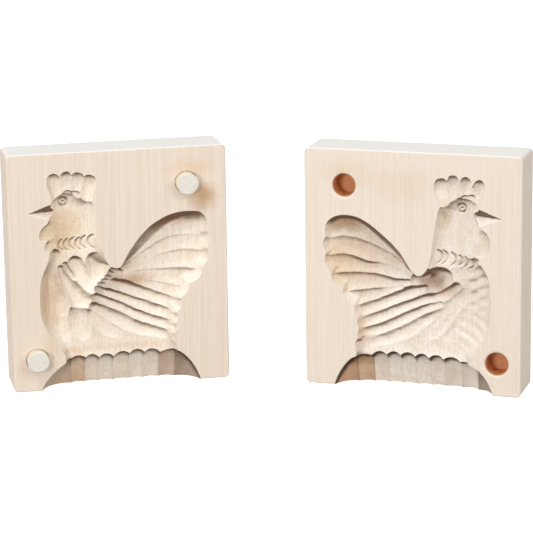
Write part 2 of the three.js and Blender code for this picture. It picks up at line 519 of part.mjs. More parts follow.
// The two grids' triangles. Each cell of the bed is split along the diagonal that comes
// nearer to the depth at its middle, so that ridges and valleys run unbroken.
function sewnGrids(columns, rows, depths, middleDepth) {
  const across = columns + 1;
  const bedStart = depths.length;
  const triangles = [];
  for (let row = 0; row < rows; row += 1) {
    for (let column = 0; column < columns; column += 1) {
      const a = row * across + column;
      const b = a + 1;
      const c = a + across;
      const d = c + 1;
      triangles.push(a, b, d, a, d, c);
      const middle = middleDepth(column, row);
      const rising = Math.abs((depths[a] + depths[d]) / 2 - middle);
      const falling = Math.abs((depths[b] + depths[c]) / 2 - middle);
      const split = rising < falling ? [a, d, b, a, c, d] : [a, c, b, b, c, d];
      triangles.push(...split.map((corner) => bedStart + corner));
    }
  }
  const rim = rimOrder(columns, rows);
  rim.forEach((front, i) => {
    const next = rim[(i + 1) % rim.length];
    triangles.push(front, front + bedStart, next + bedStart, front, next + bedStart, next);
  });
  return triangles;
}

// The grid's outer points, in order along the foot, up, back along the top and down
function rimOrder(columns, rows) {
  const across = columns + 1;
  const rim = [];
  for (let column = 0; column < columns; column += 1) {
    rim.push(column);
  }
  for (let row = 0; row < rows; row += 1) {
    rim.push(row * across + columns);
  }
  for (let column = columns; column > 0; column -= 1) {
    rim.push(rows * across + column);
  }
  for (let row = rows; row > 0; row -= 1) {
    rim.push(row * across);
  }
  return rim;
}

// 0 at no distance, rising along a quarter arc to 1 at a run's distance. Its roundness is 2
// for an ellipse, and less for a flatter arc.
function quarterArc(away, run, roundness) {
  const left = 1 - THREE.MathUtils.clamp(away / run, 0, 1);
  return (1 - left ** roundness) ** (1 / roundness);
}

// A point across an end of the nest: its distance from the end, how far round the flute's
// hollow section it has come, from 0 at either side to 1 in the middle, and the arch's height
function endPoint(step, [ridgeU, ridgeV], end) {
  const width = Math.abs(ridgeU - end);
  const away = width * (1 - Math.cos(Math.PI / 2 * step / ARCH_END_STEPS));
  const hollow = Math.sin(Math.PI * away / width) ** HOLLOW_ROUNDNESS;
  const arch = ridgeV * quarterArc(away, width, NEST_ARCH_ROUNDNESS);
  return { u: end + Math.sign(ridgeU - end) * away, hollow, arch };
}

// The points across the whole nest, from end to end
function acrossFlutes(ridges) {
  const points = [];
  for (let step = 0; step < ARCH_END_STEPS; step += 1) {
    points.push(endPoint(step, ridges[0], NEST_LEFT));
  }
  for (let flute = 1; flute < ridges.length; flute += 1) {
    const [startU, startV, rise] = ridges[flute - 1];
    const [endU, endV] = ridges[flute];
    for (let step = 0; step < FLUTE_STEPS; step += 1) {
      const share = (1 - Math.cos(Math.PI * step / FLUTE_STEPS)) / 2;
      const hollow = Math.sin(Math.PI * share) ** HOLLOW_ROUNDNESS;
      const arch = THREE.MathUtils.lerp(startV, endV, share) + rise * hollow;
      points.push({ u: THREE.MathUtils.lerp(startU, endU, share), hollow, arch });
    }
  }
  for (let step = ARCH_END_STEPS; step >= 0; step -= 1) {
    points.push(endPoint(step, ridges.at(-1), NEST_RIGHT));
  }
  return points;
}

function closedOutline(points) {
  return new THREE.Shape(points.map(([x, y]) => new THREE.Vector2(x, y)));
}

// The nest's recess: its level section, carried upright and drawn in as it rises, met with
// its arch seen from the front, carried into the wood
function nestSolid(ridges) {
  const points = acrossFlutes(ridges);
  const floorPlan = points.map(({ u, hollow }) => {
    const fromEnd = Math.min(u - NEST_LEFT, NEST_RIGHT - u);
    const depth = NEST_DEPTH * quarterArc(fromEnd, NEST_END_RUN, 2) - FLUTE_RIDGE * (1 - hollow);
    return [onBlock(u, 0, 0)[0], Math.max(depth, -PASS_OVER / 2)];
  });
  const section = closedOutline([
    [floorPlan.at(-1)[0], -PASS_OVER],
    [floorPlan[0][0], -PASS_OVER],
    ...floorPlan
  ].reverse());
  const front = points.map(({ u, arch }) => {
    const [x, , z] = onBlock(u, 0, arch);
    return [x, z];
  });
  const opening = closedOutline([
    [front[0][0], -PASS_OVER],
    [front.at(-1)[0], -PASS_OVER],
    ...front.reverse()
  ]);
  const tall = new THREE.ExtrudeGeometry(section, { depth: NEST_TOOL_HEIGHT, bevelEnabled: false });
  leanBack(tall);
  tall.translate(0, 0, -PASS_OVER / 2);
  const deep = new THREE.ExtrudeGeometry(opening, { depth: BLOCK_THICKNESS, bevelEnabled: false });
  deep.rotateX(Math.PI / 2);
  deep.translate(0, BLOCK_THICKNESS - PASS_OVER / 2, 0);
  return toSolid(tall).intersect(toSolid(deep));
}

// Draws the upper points in towards the face, so that the back wall leans forward
function leanBack(geometry) {
  const position = geometry.attributes.position;
  for (let i = 0; i < position.count; i += 1) {
    position.setY(i, position.getY(i) * (1 - NEST_LEAN * position.getZ(i)));
  }
}

// A turned solid whose axis stands at a place on the plan, square to the face. Its profile
// is a list of [radius, depth].
function turned(profile, place) {
  const geometry = new THREE.LatheGeometry(profile.map(([r, y]) => new THREE.Vector2(r, y)), ROUND_SIDES);
  const [x, , z] = onBlock(place[0], 0, place[1]);
  geometry.translate(x, 0, z);
  return geometry;
}

function holeGeometry(radius, depth, place) {
  return turned([[0, -PASS_OVER], [radius, -PASS_OVER], [radius, depth], [0, depth]], place);
}

function pinGeometry(place) {
  const radius = PIN_DIAMETER / 2;
  return turned([
    [0, -PIN_PROUD],
    [radius - PIN_TIP_CHAMFER, -PIN_PROUD],
    [radius, -PIN_PROUD + PIN_TIP_CHAMFER],
    [radius, PIN_SEATED],
    [0, PIN_SEATED]
  ], place);
}

function carvedHalf(hen, shift, ridges, holes) {
  let half = toSolid(blockGeometry());
  half = half.subtract(toSolid(hollowGeometry(hen, shift)));
  half = half.subtract(nestSolid(ridges));
  for (const hole of holes) {
    half = half.subtract(toSolid(hole));
  }
  return toGeometry(half);
}

function pinHalfGeometry() {
  const radius = PIN_DIAMETER / 2 + PIN_GLUE_LINE;
  const depth = PIN_SEATED + PIN_GLUE_LINE;
  const holes = PIN_PLACES.map((place) => holeGeometry(radius, depth, place));
  return carvedHalf(PIN_HALF_HEN, PIN_HALF_HEN_SHIFT, PIN_HALF_FLUTES, holes);
}

// How far a pin swings to the side as it goes in, because the socket half turns about the
// fold line. The faces pass the fold line at one distance, and the pins' tips at another.
function pinSwing() {
  const nearWall = FOLD_TO_BLOCK + BLOCK_WIDTH - onBlock(UPPER_PIN_PLACE[0], 0, 0)[0] - PIN_DIAMETER / 2;
  const farWall = nearWall + PIN_DIAMETER;
  const atFace = (FOLD_AHEAD_OF_FACE - CLOSED_GAP) ** 2 / (2 * nearWall);
  const atTip = (PIN_PROUD - FOLD_AHEAD_OF_FACE) ** 2 / (2 * farWall);
  return Math.max(atFace, atTip);
}

function socketHalfGeometry() {
  const radius = PIN_DIAMETER / 2 + SOCKET_FREEDOM + pinSwing();
  const holes = PIN_PLACES.map((place) => holeGeometry(radius, SOCKET_DEPTH, place));
  return mirrored(carvedHalf(SOCKET_HALF_HEN, SOCKET_HALF_HEN_SHIFT, SOCKET_HALF_FLUTES, holes));
}

// The same solid seen in a mirror: x changes sign, and each triangle is walked the other way
function mirrored(geometry) {
  const flipped = geometry.clone();
  const position = flipped.attributes.position;
  for (let i = 0; i < position.count; i += 1) {
    position.setX(i, -position.getX(i));
  }
  const walk = Array.from(flipped.index.array);
  for (let i = 0; i < walk.length; i += 3) {
    [walk[i], walk[i + 1]] = [walk[i + 1], walk[i]];
  }
  flipped.setIndex(walk);
  flipped.computeVertexNormals();
  return flipped;
}

function piece(name, geometry, color) {
  const material = new THREE.MeshStandardMaterial({ color, roughness: WOOD_ROUGHNESS, metalness: 0 });
  const mesh = new THREE.Mesh(geometry, material);
  mesh.name = name;
  return mesh;
}

const faceToFold = FOLD_TO_BLOCK + BLOCK_WIDTH;

const pinSide = new THREE.Group();
pinSide.rotation.z = OPEN_TURN;
const pinHalf = piece('pin_half', pinHalfGeometry(), WOOD.pin_half);
const upperPin = piece('upper_pin', pinGeometry(UPPER_PIN_PLACE), WOOD.pin);
const lowerPin = piece('lower_pin', pinGeometry(LOWER_PIN_PLACE), WOOD.pin);
for (const mesh of [pinHalf, upperPin, lowerPin]) {
  mesh.position.set(-faceToFold, FOLD_AHEAD_OF_FACE + CLOSED_GAP / 2, 0);
  pinSide.add(mesh);
}

const socketSide = new THREE.Group();
socketSide.rotation.z = -OPEN_TURN;
const socketHalf = piece('socket_half', socketHalfGeometry(), WOOD.socket_half);
socketHalf.position.set(faceToFold, -FOLD_AHEAD_OF_FACE + CLOSED_GAP / 2, 0);
socketSide.add(socketHalf);

const mould = new THREE.Group();
mould.add(pinSide, socketSide);
const extent = new THREE.Box3().setFromObject(mould, true);
const middle = extent.getCenter(new THREE.Vector3());
mould.position.set(-middle.x, -middle.y, 0);

export default mould;
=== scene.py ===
import json
import math

import bpy
import numpy as np
from mathutils import Euler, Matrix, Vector


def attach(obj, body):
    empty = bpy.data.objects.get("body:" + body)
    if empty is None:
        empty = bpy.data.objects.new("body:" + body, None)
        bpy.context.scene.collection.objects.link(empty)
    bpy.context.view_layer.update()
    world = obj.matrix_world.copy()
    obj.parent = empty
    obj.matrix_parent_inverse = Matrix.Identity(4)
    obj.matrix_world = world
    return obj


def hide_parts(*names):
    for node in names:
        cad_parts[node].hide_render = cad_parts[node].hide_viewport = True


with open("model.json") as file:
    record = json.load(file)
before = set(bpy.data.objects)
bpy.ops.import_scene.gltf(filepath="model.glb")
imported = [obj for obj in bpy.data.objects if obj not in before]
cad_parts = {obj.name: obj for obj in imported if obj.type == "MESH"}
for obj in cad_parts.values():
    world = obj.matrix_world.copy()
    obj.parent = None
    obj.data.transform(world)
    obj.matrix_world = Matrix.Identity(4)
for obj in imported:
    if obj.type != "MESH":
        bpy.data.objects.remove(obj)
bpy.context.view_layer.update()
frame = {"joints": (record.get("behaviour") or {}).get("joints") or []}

# A two-part butter mould of pale wood, as an add-on that makes its looks.
#
# Each half is worked out on a plan of its carved face, in millimetres: u runs from the
# outer edge to the inner edge, v runs up from the foot, and depth goes into the wood.
# The socket half is the mirror image. Only the finished meshes are in metres.

bl_info = {
    "name": "Carved butter mould",
    "version": (1, 0, 0),
    "blender": (4, 5, 0),
    "location": "3D View > Sidebar > Butter mould",
    "description": "Makes the carved halves, the pins and the stage of a two-part butter mould",
    "category": "Add Mesh",
}

MM = 0.001

# Blocks
BLOCK_WIDTH = 110.0
BLOCK_HEIGHT = 121.0
BLOCK_THICKNESS = 25.0

# How the halves stand: an upright fold line between them, which the joint gives
FOLD_LINE = Vector(frame["joints"][0]["pos_m"])
OPEN_TURN = math.radians(15)
FOLD_TO_BLOCK = 20.3
FOLD_AHEAD_OF_FACE = 5.0
CLOSED_GAP = 0.3

# Pins and their holes
PIN_PROUD = 5.0
PIN_SEATED = 12.0
SEAT_GAP = 0.28
SOCKET_GAP = 0.3
SOCKET_DEPTH = 12.0
SOCKET_LIP = 1.2
UPPER_PIN_PLACE = (89.7, 102.7)
LOWER_PIN_PLACE = (12.2, 16.5)
ROUND_STEPS = 96

# Nest recess
NEST_LEFT = 14.0
NEST_RIGHT = 95.0
NEST_DEPTH = 13.0
NEST_END_RUN = 20.0
NEST_LEAN = 0.02
NEST_ARCH_ROUNDNESS = 1.4
FLUTE_RIDGE = 1.6
FLUTE_END_ROUND = 3.4
FLUTE_ROUNDNESS = 0.7

# How far the grain wanders from side to side
GRAIN_SWAY = 5.0

# How far a cutter starts outside the wood, and the part of the face that the hen's cutter
# spans, in u and in v
PASS_OVER = 1.0
CARVED_AREA = ((7.0, 103.0), (9.0, 114.0))

# Straight pieces to each span of a curve, and how many half widths from its middle a
# stroke's bed is worked out
STEPS_PER_SPAN = 8
BED_REACH = 1.5

# What the hand and the tool leave uneven, as height and length of soft waves: the strokes'
# ways, the hen's and the nest's beds, the chatter marks, and the pins' sawn ends
HAND_SHIFT = (0.3, 5.0)
BED_BUMPS = (0.16, 7.0)
BED_RIPPLES = (0.06, 2.6)
NEST_BUMPS = (0.1, 7.0)
NEST_RIPPLES = (0.05, 5.0)
CHATTER_SWAY = (0.25, 4.0)
PIN_END_WAVES = (0.1, 3.2)
PIN_END_STROKES = (0.07, 1.3)
# The same for the sanded edges, with the height as a share of their rounding
EDGE_WEAR = (0.25, 23.0)
# Depth from which a bed has all of its bumps and marks
HEN_MARKS_DEPTH = 2.0
NEST_MARKS_DEPTH = 3.0
# How much the saw took off a pin's end, and how far in from the end it shows
PIN_END_LOSS = 0.1
PIN_END_REACH = 1.5
# Height and spacing of the rings that the bit left in the holes
BIT_RINGS = (0.03, 0.9)

# The carving is a list of regions, and the deepest one counts. A region has an outline and
# gouge strokes inside it.
#
# An outline is a list of curves that meet in corners, each through points (u, v, run). It
# limits the depth to WALL_DEPTH * (1 - (1 - distance / run) ** 2), so that a short run makes
# a steep wall. No outline means no limit.
#
# A stroke is a list of points (u, v, half width, depth) along its middle. Its bed is
# depth * (1 - (distance / half width) ** section), so a section of 1 is a V, 2 is a round
# gouge and more has a flatter bed. Skew makes it narrower on the left of its way, and wider
# on the right. The wood left between two strokes is a ridge.
WALL_DEPTH = 9.0
FEATHER_SKEW = 0.3

PIN_HALF_COMB_OUTLINE = [
    [(24, 93, 3), (21.6, 95.8, 3), (21.2, 98.5, 2.5), (19.8, 102, 2.5), (19.3, 105.6, 3), (20.2, 108.5, 3),
     (22.5, 109.7, 2.4), (24.7, 109, 2.4), (25.8, 107.5, 2.4)],
    [(25.8, 107.5, 2.4), (27.1, 109.6, 2.2), (29, 110.5, 2.2), (30.8, 109.9, 2.2), (31.8, 108.2, 2.4)],
    [(31.8, 108.2, 2.4), (33, 109.4, 2.2), (34.8, 109.7, 2.2), (36.8, 109, 2.4), (38, 107.4, 2.6)],
    [(38, 107.4, 2.6), (39.3, 108.2, 2.4), (41, 108.1, 2.4), (43.2, 107, 3), (44.2, 105.2, 5),
     (43.7, 102, 9), (42.6, 98.5, 9), (41.6, 95, 8), (38, 93, 6)],
    [(38, 93, 6), (24, 93, 3)],
]
PIN_HALF_BODY_OUTLINE = [
    # Crest, back of the neck, and the tail's upper edge
    [(21, 94.4, 3), (23.4, 96.6, 2.4), (26, 98.4, 2), (28.6, 99.5, 1.8), (31, 99.7, 1.8), (33.5, 99, 1.8),
     (36, 97.6, 2), (39, 96.2, 3), (41.8, 95, 8), (42.8, 91, 14), (43.8, 86, 16), (44.5, 80, 16),
     (45.3, 74, 15), (46.6, 68, 12), (48.4, 63, 7), (50.6, 60.6, 3.6), (53.5, 59.8, 3), (55.6, 61, 4),
     (57.8, 65, 8), (60.2, 68.9, 11), (65, 75, 13), (70, 80, 13), (75, 83.2, 12), (80, 85.5, 10.5),
     (85, 86.7, 9.5), (90, 87, 8.5), (95, 86.4, 8), (97.4, 84.8, 9), (99, 82.3, 11), (99.7, 79.5, 14),
     (99.4, 76, 16)],
    # Tips of the tail feathers
    [(99.4, 76, 16), (100.4, 73.4, 16), (100.4, 70.4, 16), (99.1, 67.2, 16)],
    [(99.1, 67.2, 16), (99.9, 64.5, 16), (99.2, 61, 16), (96.7, 57.9, 16)],
    [(96.7, 57.9, 16), (96.2, 54.6, 16), (93.8, 51.3, 16), (90.2, 49.6, 16)],
    [(90.2, 49.6, 16), (89.3, 46.6, 16), (87.4, 43.8, 16), (84.6, 42.2, 14)],
    # Tips of the wing feathers
    [(84.6, 42.2, 10), (85.6, 40.2, 14), (85.2, 37.4, 16), (82.6, 34.8, 14)],
    [(82.6, 34.8, 10), (83.5, 32.9, 14), (83.3, 30.9, 16), (82, 29.2, 14)],
    [(82, 29.2, 10), (82.8, 27.4, 14), (82.6, 25.6, 16), (81.4, 24, 14)],
    [(81.4, 24, 10), (82.1, 22.3, 12), (82.2, 20, 9), (82.7, 17, 6), (83.2, 13, 5), (83.2, 9.5, 5)],
    # Foot, breast, wattles
    [(83.2, 9.5, 5), (26, 9.5, 5)],
    [(26, 9.5, 5), (25.7, 15.5, 6), (24.6, 18.4, 8), (22.3, 21.8, 9), (19.8, 25.2, 9), (17.4, 29.2, 9),
     (15.5, 33.6, 8), (14.3, 38.6, 7), (14, 45, 7), (14.4, 52, 7), (15.4, 57.4, 7), (17.2, 61.8, 7),
     (18.8, 65.6, 7), (19.7, 69.8, 7)],
    [(19.7, 69.8, 8), (17.8, 70.8, 8), (17.1, 72.8, 8), (17.8, 74.6, 7), (18.8, 75.6, 7)],
    [(18.8, 75.6, 7), (16.4, 75.6, 7), (14.9, 76.8, 6), (14.8, 79.4, 5), (16.2, 82.2, 4),
     (19.2, 84.8, 3.5)],
    [(19.2, 84.8, 4), (20, 87, 5), (21.2, 89, 5), (21.6, 91, 4), (20.7, 92.6, 3), (21, 94.4, 3)],
]
PIN_HALF_HEN = [
    # Comb
    (PIN_HALF_COMB_OUTLINE, [
        (2.0, 0.0, [
            [(25.6, 94, 5.4, 2.5), (23.8, 101, 5.4, 2.9), (23, 106, 5, 3.2)],
            [(29.2, 97, 5.4, 2.5), (29.2, 103, 5.4, 2.9), (29.3, 106.6, 5, 3.2)],
            [(33, 97, 5.4, 2.5), (34, 102, 5.4, 2.9), (35.2, 106, 5, 3.2)],
            [(37.6, 95, 5.4, 2.5), (39.6, 101, 5.8, 2.9), (41.2, 104.6, 5, 3.2)],
        ]),
    ]),
    # Beak, and two small arcs over the crest
    (None, [
        (1.0, 0.0, [[(10, 90, 0.3, 0.2), (21.8, 89.8, 4.5, 4.6)]]),
        (6.0, 0.0, [
            [(29.6, 98.2, 3, 3.4), (30.2, 98, 3, 3.4)],
            [(33.4, 97.6, 3, 3.4), (34, 97.4, 3, 3.4)],
        ]),
    ]),
    (PIN_HALF_BODY_OUTLINE, [
        # Wattles
        (2.2, 0.0, [
            [(23, 81.5, 7, 3.6), (18.8, 78.6, 7, 3.2)],
            [(24, 74, 6, 3.4), (20.4, 72.6, 6, 3)],
        ]),
        # Head and neck
        (3.0, 0.0, [
            [(29, 93, 9, 5), (31.5, 86, 13, 5.6), (33, 78, 13.5, 5.6), (34, 70, 14.5, 4.8),
             (35, 64, 15, 4.2)],
        ]),
        # Breast
        (2.2, 0.0, [
            [(23.2, 67, 6, 5.2), (20.2, 58, 6.6, 6.6), (20.4, 50, 8, 7.2), (21.6, 43.6, 9.4, 7.5),
             (23, 38, 8.6, 7.2)],
            [(21.6, 40, 9, 7), (22.4, 34, 9.6, 7), (24.2, 28.6, 9, 6.7), (27.4, 24.4, 6.6, 5.8),
             (28.6, 22.4, 5, 4.8)],
        ]),
        (2.4, -0.3, [[(25, 60, 3, 6.6), (27.2, 54, 4.8, 7.6), (30.4, 48, 6, 8), (33.2, 42.4, 6.6, 7.4)]]),
        (2.2, 0.0, [[(27.8, 62.2, 2.4, 6.4), (29.8, 58.4, 3, 7.2), (32, 55, 2.6, 7.2)]]),
        # Belly
        (2.2, 0.0, [
            [(33.4, 39, 5, 5.8), (33.6, 35, 8.6, 6.9), (34, 31, 10, 7.1), (36, 26, 9, 6.5),
             (36.6, 22.6, 6, 5.4)],
            [(41, 35.6, 5.6, 6.6), (47.4, 29.4, 9, 7.2), (52.8, 25, 8, 6.6), (57, 22, 5, 5.4)],
        ]),
        # Shoulder
        (2.8, 0.0, [
            [(32.8, 62.8, 5.4, 7.2), (34.8, 58, 6, 7), (37.2, 53.4, 5.2, 6.2), (38.8, 50, 3, 5.2)],
            [(42.4, 63.4, 5.8, 7.4), (42.8, 59.6, 6.6, 7), (41.6, 55.4, 6, 6.2), (39.6, 51.6, 3.8, 5.4)],
        ]),
        # Starts of the wing's cuts, below the shoulder's ragged edge
        (2.4, 0.0, [
            [(43.2, 49.2, 1.8, 7), (45.4, 48.2, 2.2, 7.6)],
            [(44.8, 51, 1.8, 7.4), (47.2, 50, 2.2, 8)],
            [(46.8, 52.6, 1.9, 7.8), (49, 51.6, 2.2, 8.4)],
            [(48.6, 54.4, 2, 8.2), (50.6, 53.2, 2.4, 8.8)],
            [(50.2, 56.2, 2.4, 8.4), (52.2, 55, 2.6, 9)],
            [(52.6, 57.4, 4, 8.4), (55, 55.6, 4, 8.8)],
        ]),
        # Wing
        (2.0, 0.0, [
            [(49.6, 51.6, 4, 8.8), (56, 49.2, 6, 9), (61, 47.1, 6.6, 8.7), (66, 45.2, 6.6, 8),
             (71, 43.4, 6.6, 7.1), (76, 41.5, 6.6, 6.1), (80.5, 39.4, 6.4, 4.8), (84.8, 38, 6, 3.2)],
            [(45.6, 47.6, 3.4, 8), (51, 45.4, 4.6, 8.3), (56, 43.4, 5.4, 8.4), (61, 40.9, 6, 8.1),
             (66, 38.9, 6.4, 7.5), (71, 36.7, 6.4, 6.7), (76, 35, 6.4, 5.6), (82.4, 32.2, 6, 3.2)],
            [(43.4, 44.2, 4, 7.6), (49, 41.4, 4.8, 8), (56, 38.2, 5.2, 8.1), (61, 35.1, 5.4, 7.9),
             (66, 32.8, 5.4, 7.3), (71, 30.7, 5.4, 6.5), (76, 29.2, 5.6, 5.4), (81.4, 26.6, 5.6, 3.2)],
            [(42.8, 38.6, 6, 7.2), (49, 34.8, 8, 7.7), (56, 31.4, 8, 7.8), (61, 28.4, 7.4, 7.5),
             (66, 26.2, 7, 7), (71, 24.9, 6.4, 6.3), (76, 23.1, 6, 5.2), (80.6, 21.4, 5.6, 3.2)],
        ]),
        # Tail
        (2.2, FEATHER_SKEW, [
            [(56, 60, 5, 5.6), (61, 65.6, 9, 6.4), (67, 71.4, 9.5, 6.9), (73, 76.2, 10, 7.1),
             (80, 79, 10, 7), (87, 80, 10, 6.4), (94, 79.8, 10, 4.8)],
            [(57, 58, 5.6, 6.2), (68, 64.2, 9.5, 6.9), (75, 68.4, 9.5, 6.8), (81.5, 71.4, 9.5, 6.4),
             (88, 72.4, 9.5, 5.5), (96, 71.8, 9, 3.6)],
            [(58, 57, 5.6, 6.4), (72, 61.3, 9.5, 6.8), (80, 63.4, 9.5, 6.2), (88, 64.2, 9, 5.1),
             (95.5, 63.2, 8.6, 3.4)],
            [(58, 55, 5.6, 6.4), (68, 55.2, 9, 6.8), (76, 55, 9, 6.3), (84, 54.6, 9, 5.2),
             (92, 53.6, 8.6, 3.4)],
            [(62, 52, 6, 6.4), (70, 50, 8, 6.4), (77, 48, 8, 5.5), (85, 46.4, 8, 3.6)],
        ]),
        # Strip above the nest
        (2.0, 0.0, [[(30, 22, 20, 5.4), (56, 22, 20, 5.8), (68, 21, 18, 5), (80, 19, 14, 3.8)]]),
    ]),
]

SOCKET_HALF_COMB_OUTLINE = [
    [(24, 92, 4), (21.8, 95.4, 6), (19.7, 99.4, 6), (18.4, 103, 5), (18.5, 106, 3), (20.5, 108.2, 2.4),
     (23, 107.4, 2.4), (25, 104.2, 2.4)],
    [(25, 104.2, 2.4), (25.3, 107.4, 2.4), (27.5, 109.4, 2.2), (29.8, 108.7, 2.2), (30.9, 106.7, 2.4)],
    [(30.9, 106.7, 2.4), (32, 109, 2.2), (34, 109.9, 2.2), (36.3, 109.2, 2.2), (37.3, 106.8, 2.4)],
    [(37.3, 106.8, 2.4), (38.5, 108, 2.4), (40.2, 108.2, 2.4), (42.4, 107.4, 2.4), (43.8, 105, 3),
     (43.8, 102, 5), (42.6, 98, 6), (40.8, 94, 5), (38, 92, 4)],
    [(38, 92, 4), (24, 92, 4)],
]
SOCKET_HALF_BODY_OUTLINE = [
    # Crest, back of the neck, and the tail's upper edge
    [(21.5, 93.7, 3), (23.8, 96.2, 2.4), (26.8, 97.7, 2), (30, 98.2, 1.8)],
    [(30, 98.2, 1.8), (31.6, 98.7, 1.6), (33.6, 97.8, 1.6), (36, 96.1, 1.8), (38.4, 94.8, 2.4),
     (40.3, 94.2, 5), (42, 90.5, 9), (43.1, 85, 9), (44, 79, 8), (44.7, 74, 7), (45.3, 69, 6),
     (46.4, 64, 4.6), (48, 61, 3.6), (49.5, 59.2, 3), (51.2, 58.4, 3), (53.2, 59, 3.6), (56, 61.9, 6),
     (60, 68.4, 8), (65, 74, 9), (71, 79.2, 9), (75, 82.3, 8.4), (78, 84.3, 8), (82, 86.3, 7.6),
     (86, 87.2, 7.2), (90, 87.3, 7), (94, 86.4, 7), (97, 84.5, 7.4), (98.8, 82, 8), (99.4, 78.5, 9),
     (99.3, 75.4, 9)],
    # Tips of the tail feathers
    [(99.3, 75.4, 8), (100.4, 72.6, 9), (99.9, 69.4, 10), (98.8, 67, 12)],
    [(98.8, 67, 8), (99.6, 65, 9), (99.2, 62, 10), (96, 57.6, 14)],
    [(96, 57.6, 8), (96.2, 55.4, 10), (94.2, 51.6, 14), (90.2, 49.2, 14)],
    [(90.2, 49.2, 8), (90.2, 47.2, 10), (88, 43.8, 14), (84.2, 41.4, 12)],
    # Tips of the wing feathers
    [(84.2, 41.4, 7), (84.3, 38.6, 8), (82.7, 34.8, 10)],
    [(82.7, 34.8, 7), (83, 32.2, 8), (82.1, 29, 10)],
    [(82.1, 29, 7), (82.8, 26.8, 8), (82.6, 24.2, 10)],
    [(82.6, 24.2, 7), (83.9, 22.4, 8), (83.9, 20, 8), (83.4, 17, 6), (83.8, 13, 5), (83.8, 9.5, 5)],
    # Foot, breast, wattle
    [(83.8, 9.5, 5), (26, 9.5, 5)],
    [(26, 9.5, 5), (26, 16.6, 7), (24, 19.8, 10), (21, 23.6, 12), (18, 28.6, 12), (16, 33.6, 12),
     (15.3, 39, 12), (15, 44, 12), (14.9, 49, 12), (15.2, 54, 12), (16, 58, 11), (17.5, 61.6, 10),
     (19, 64, 9), (20.4, 65.6, 8)],
    [(20.4, 65.6, 8), (18.4, 69.2, 9), (16.7, 72, 10), (15.8, 74.8, 10), (15.7, 77.6, 8), (16.5, 80.2, 5),
     (18.2, 82.4, 4), (20.8, 84, 3.5)],
    [(20.8, 84, 4), (22, 87, 5), (23.4, 89.4, 5), (23.6, 91, 4), (22, 92.2, 3), (21.5, 93.7, 3)],
]
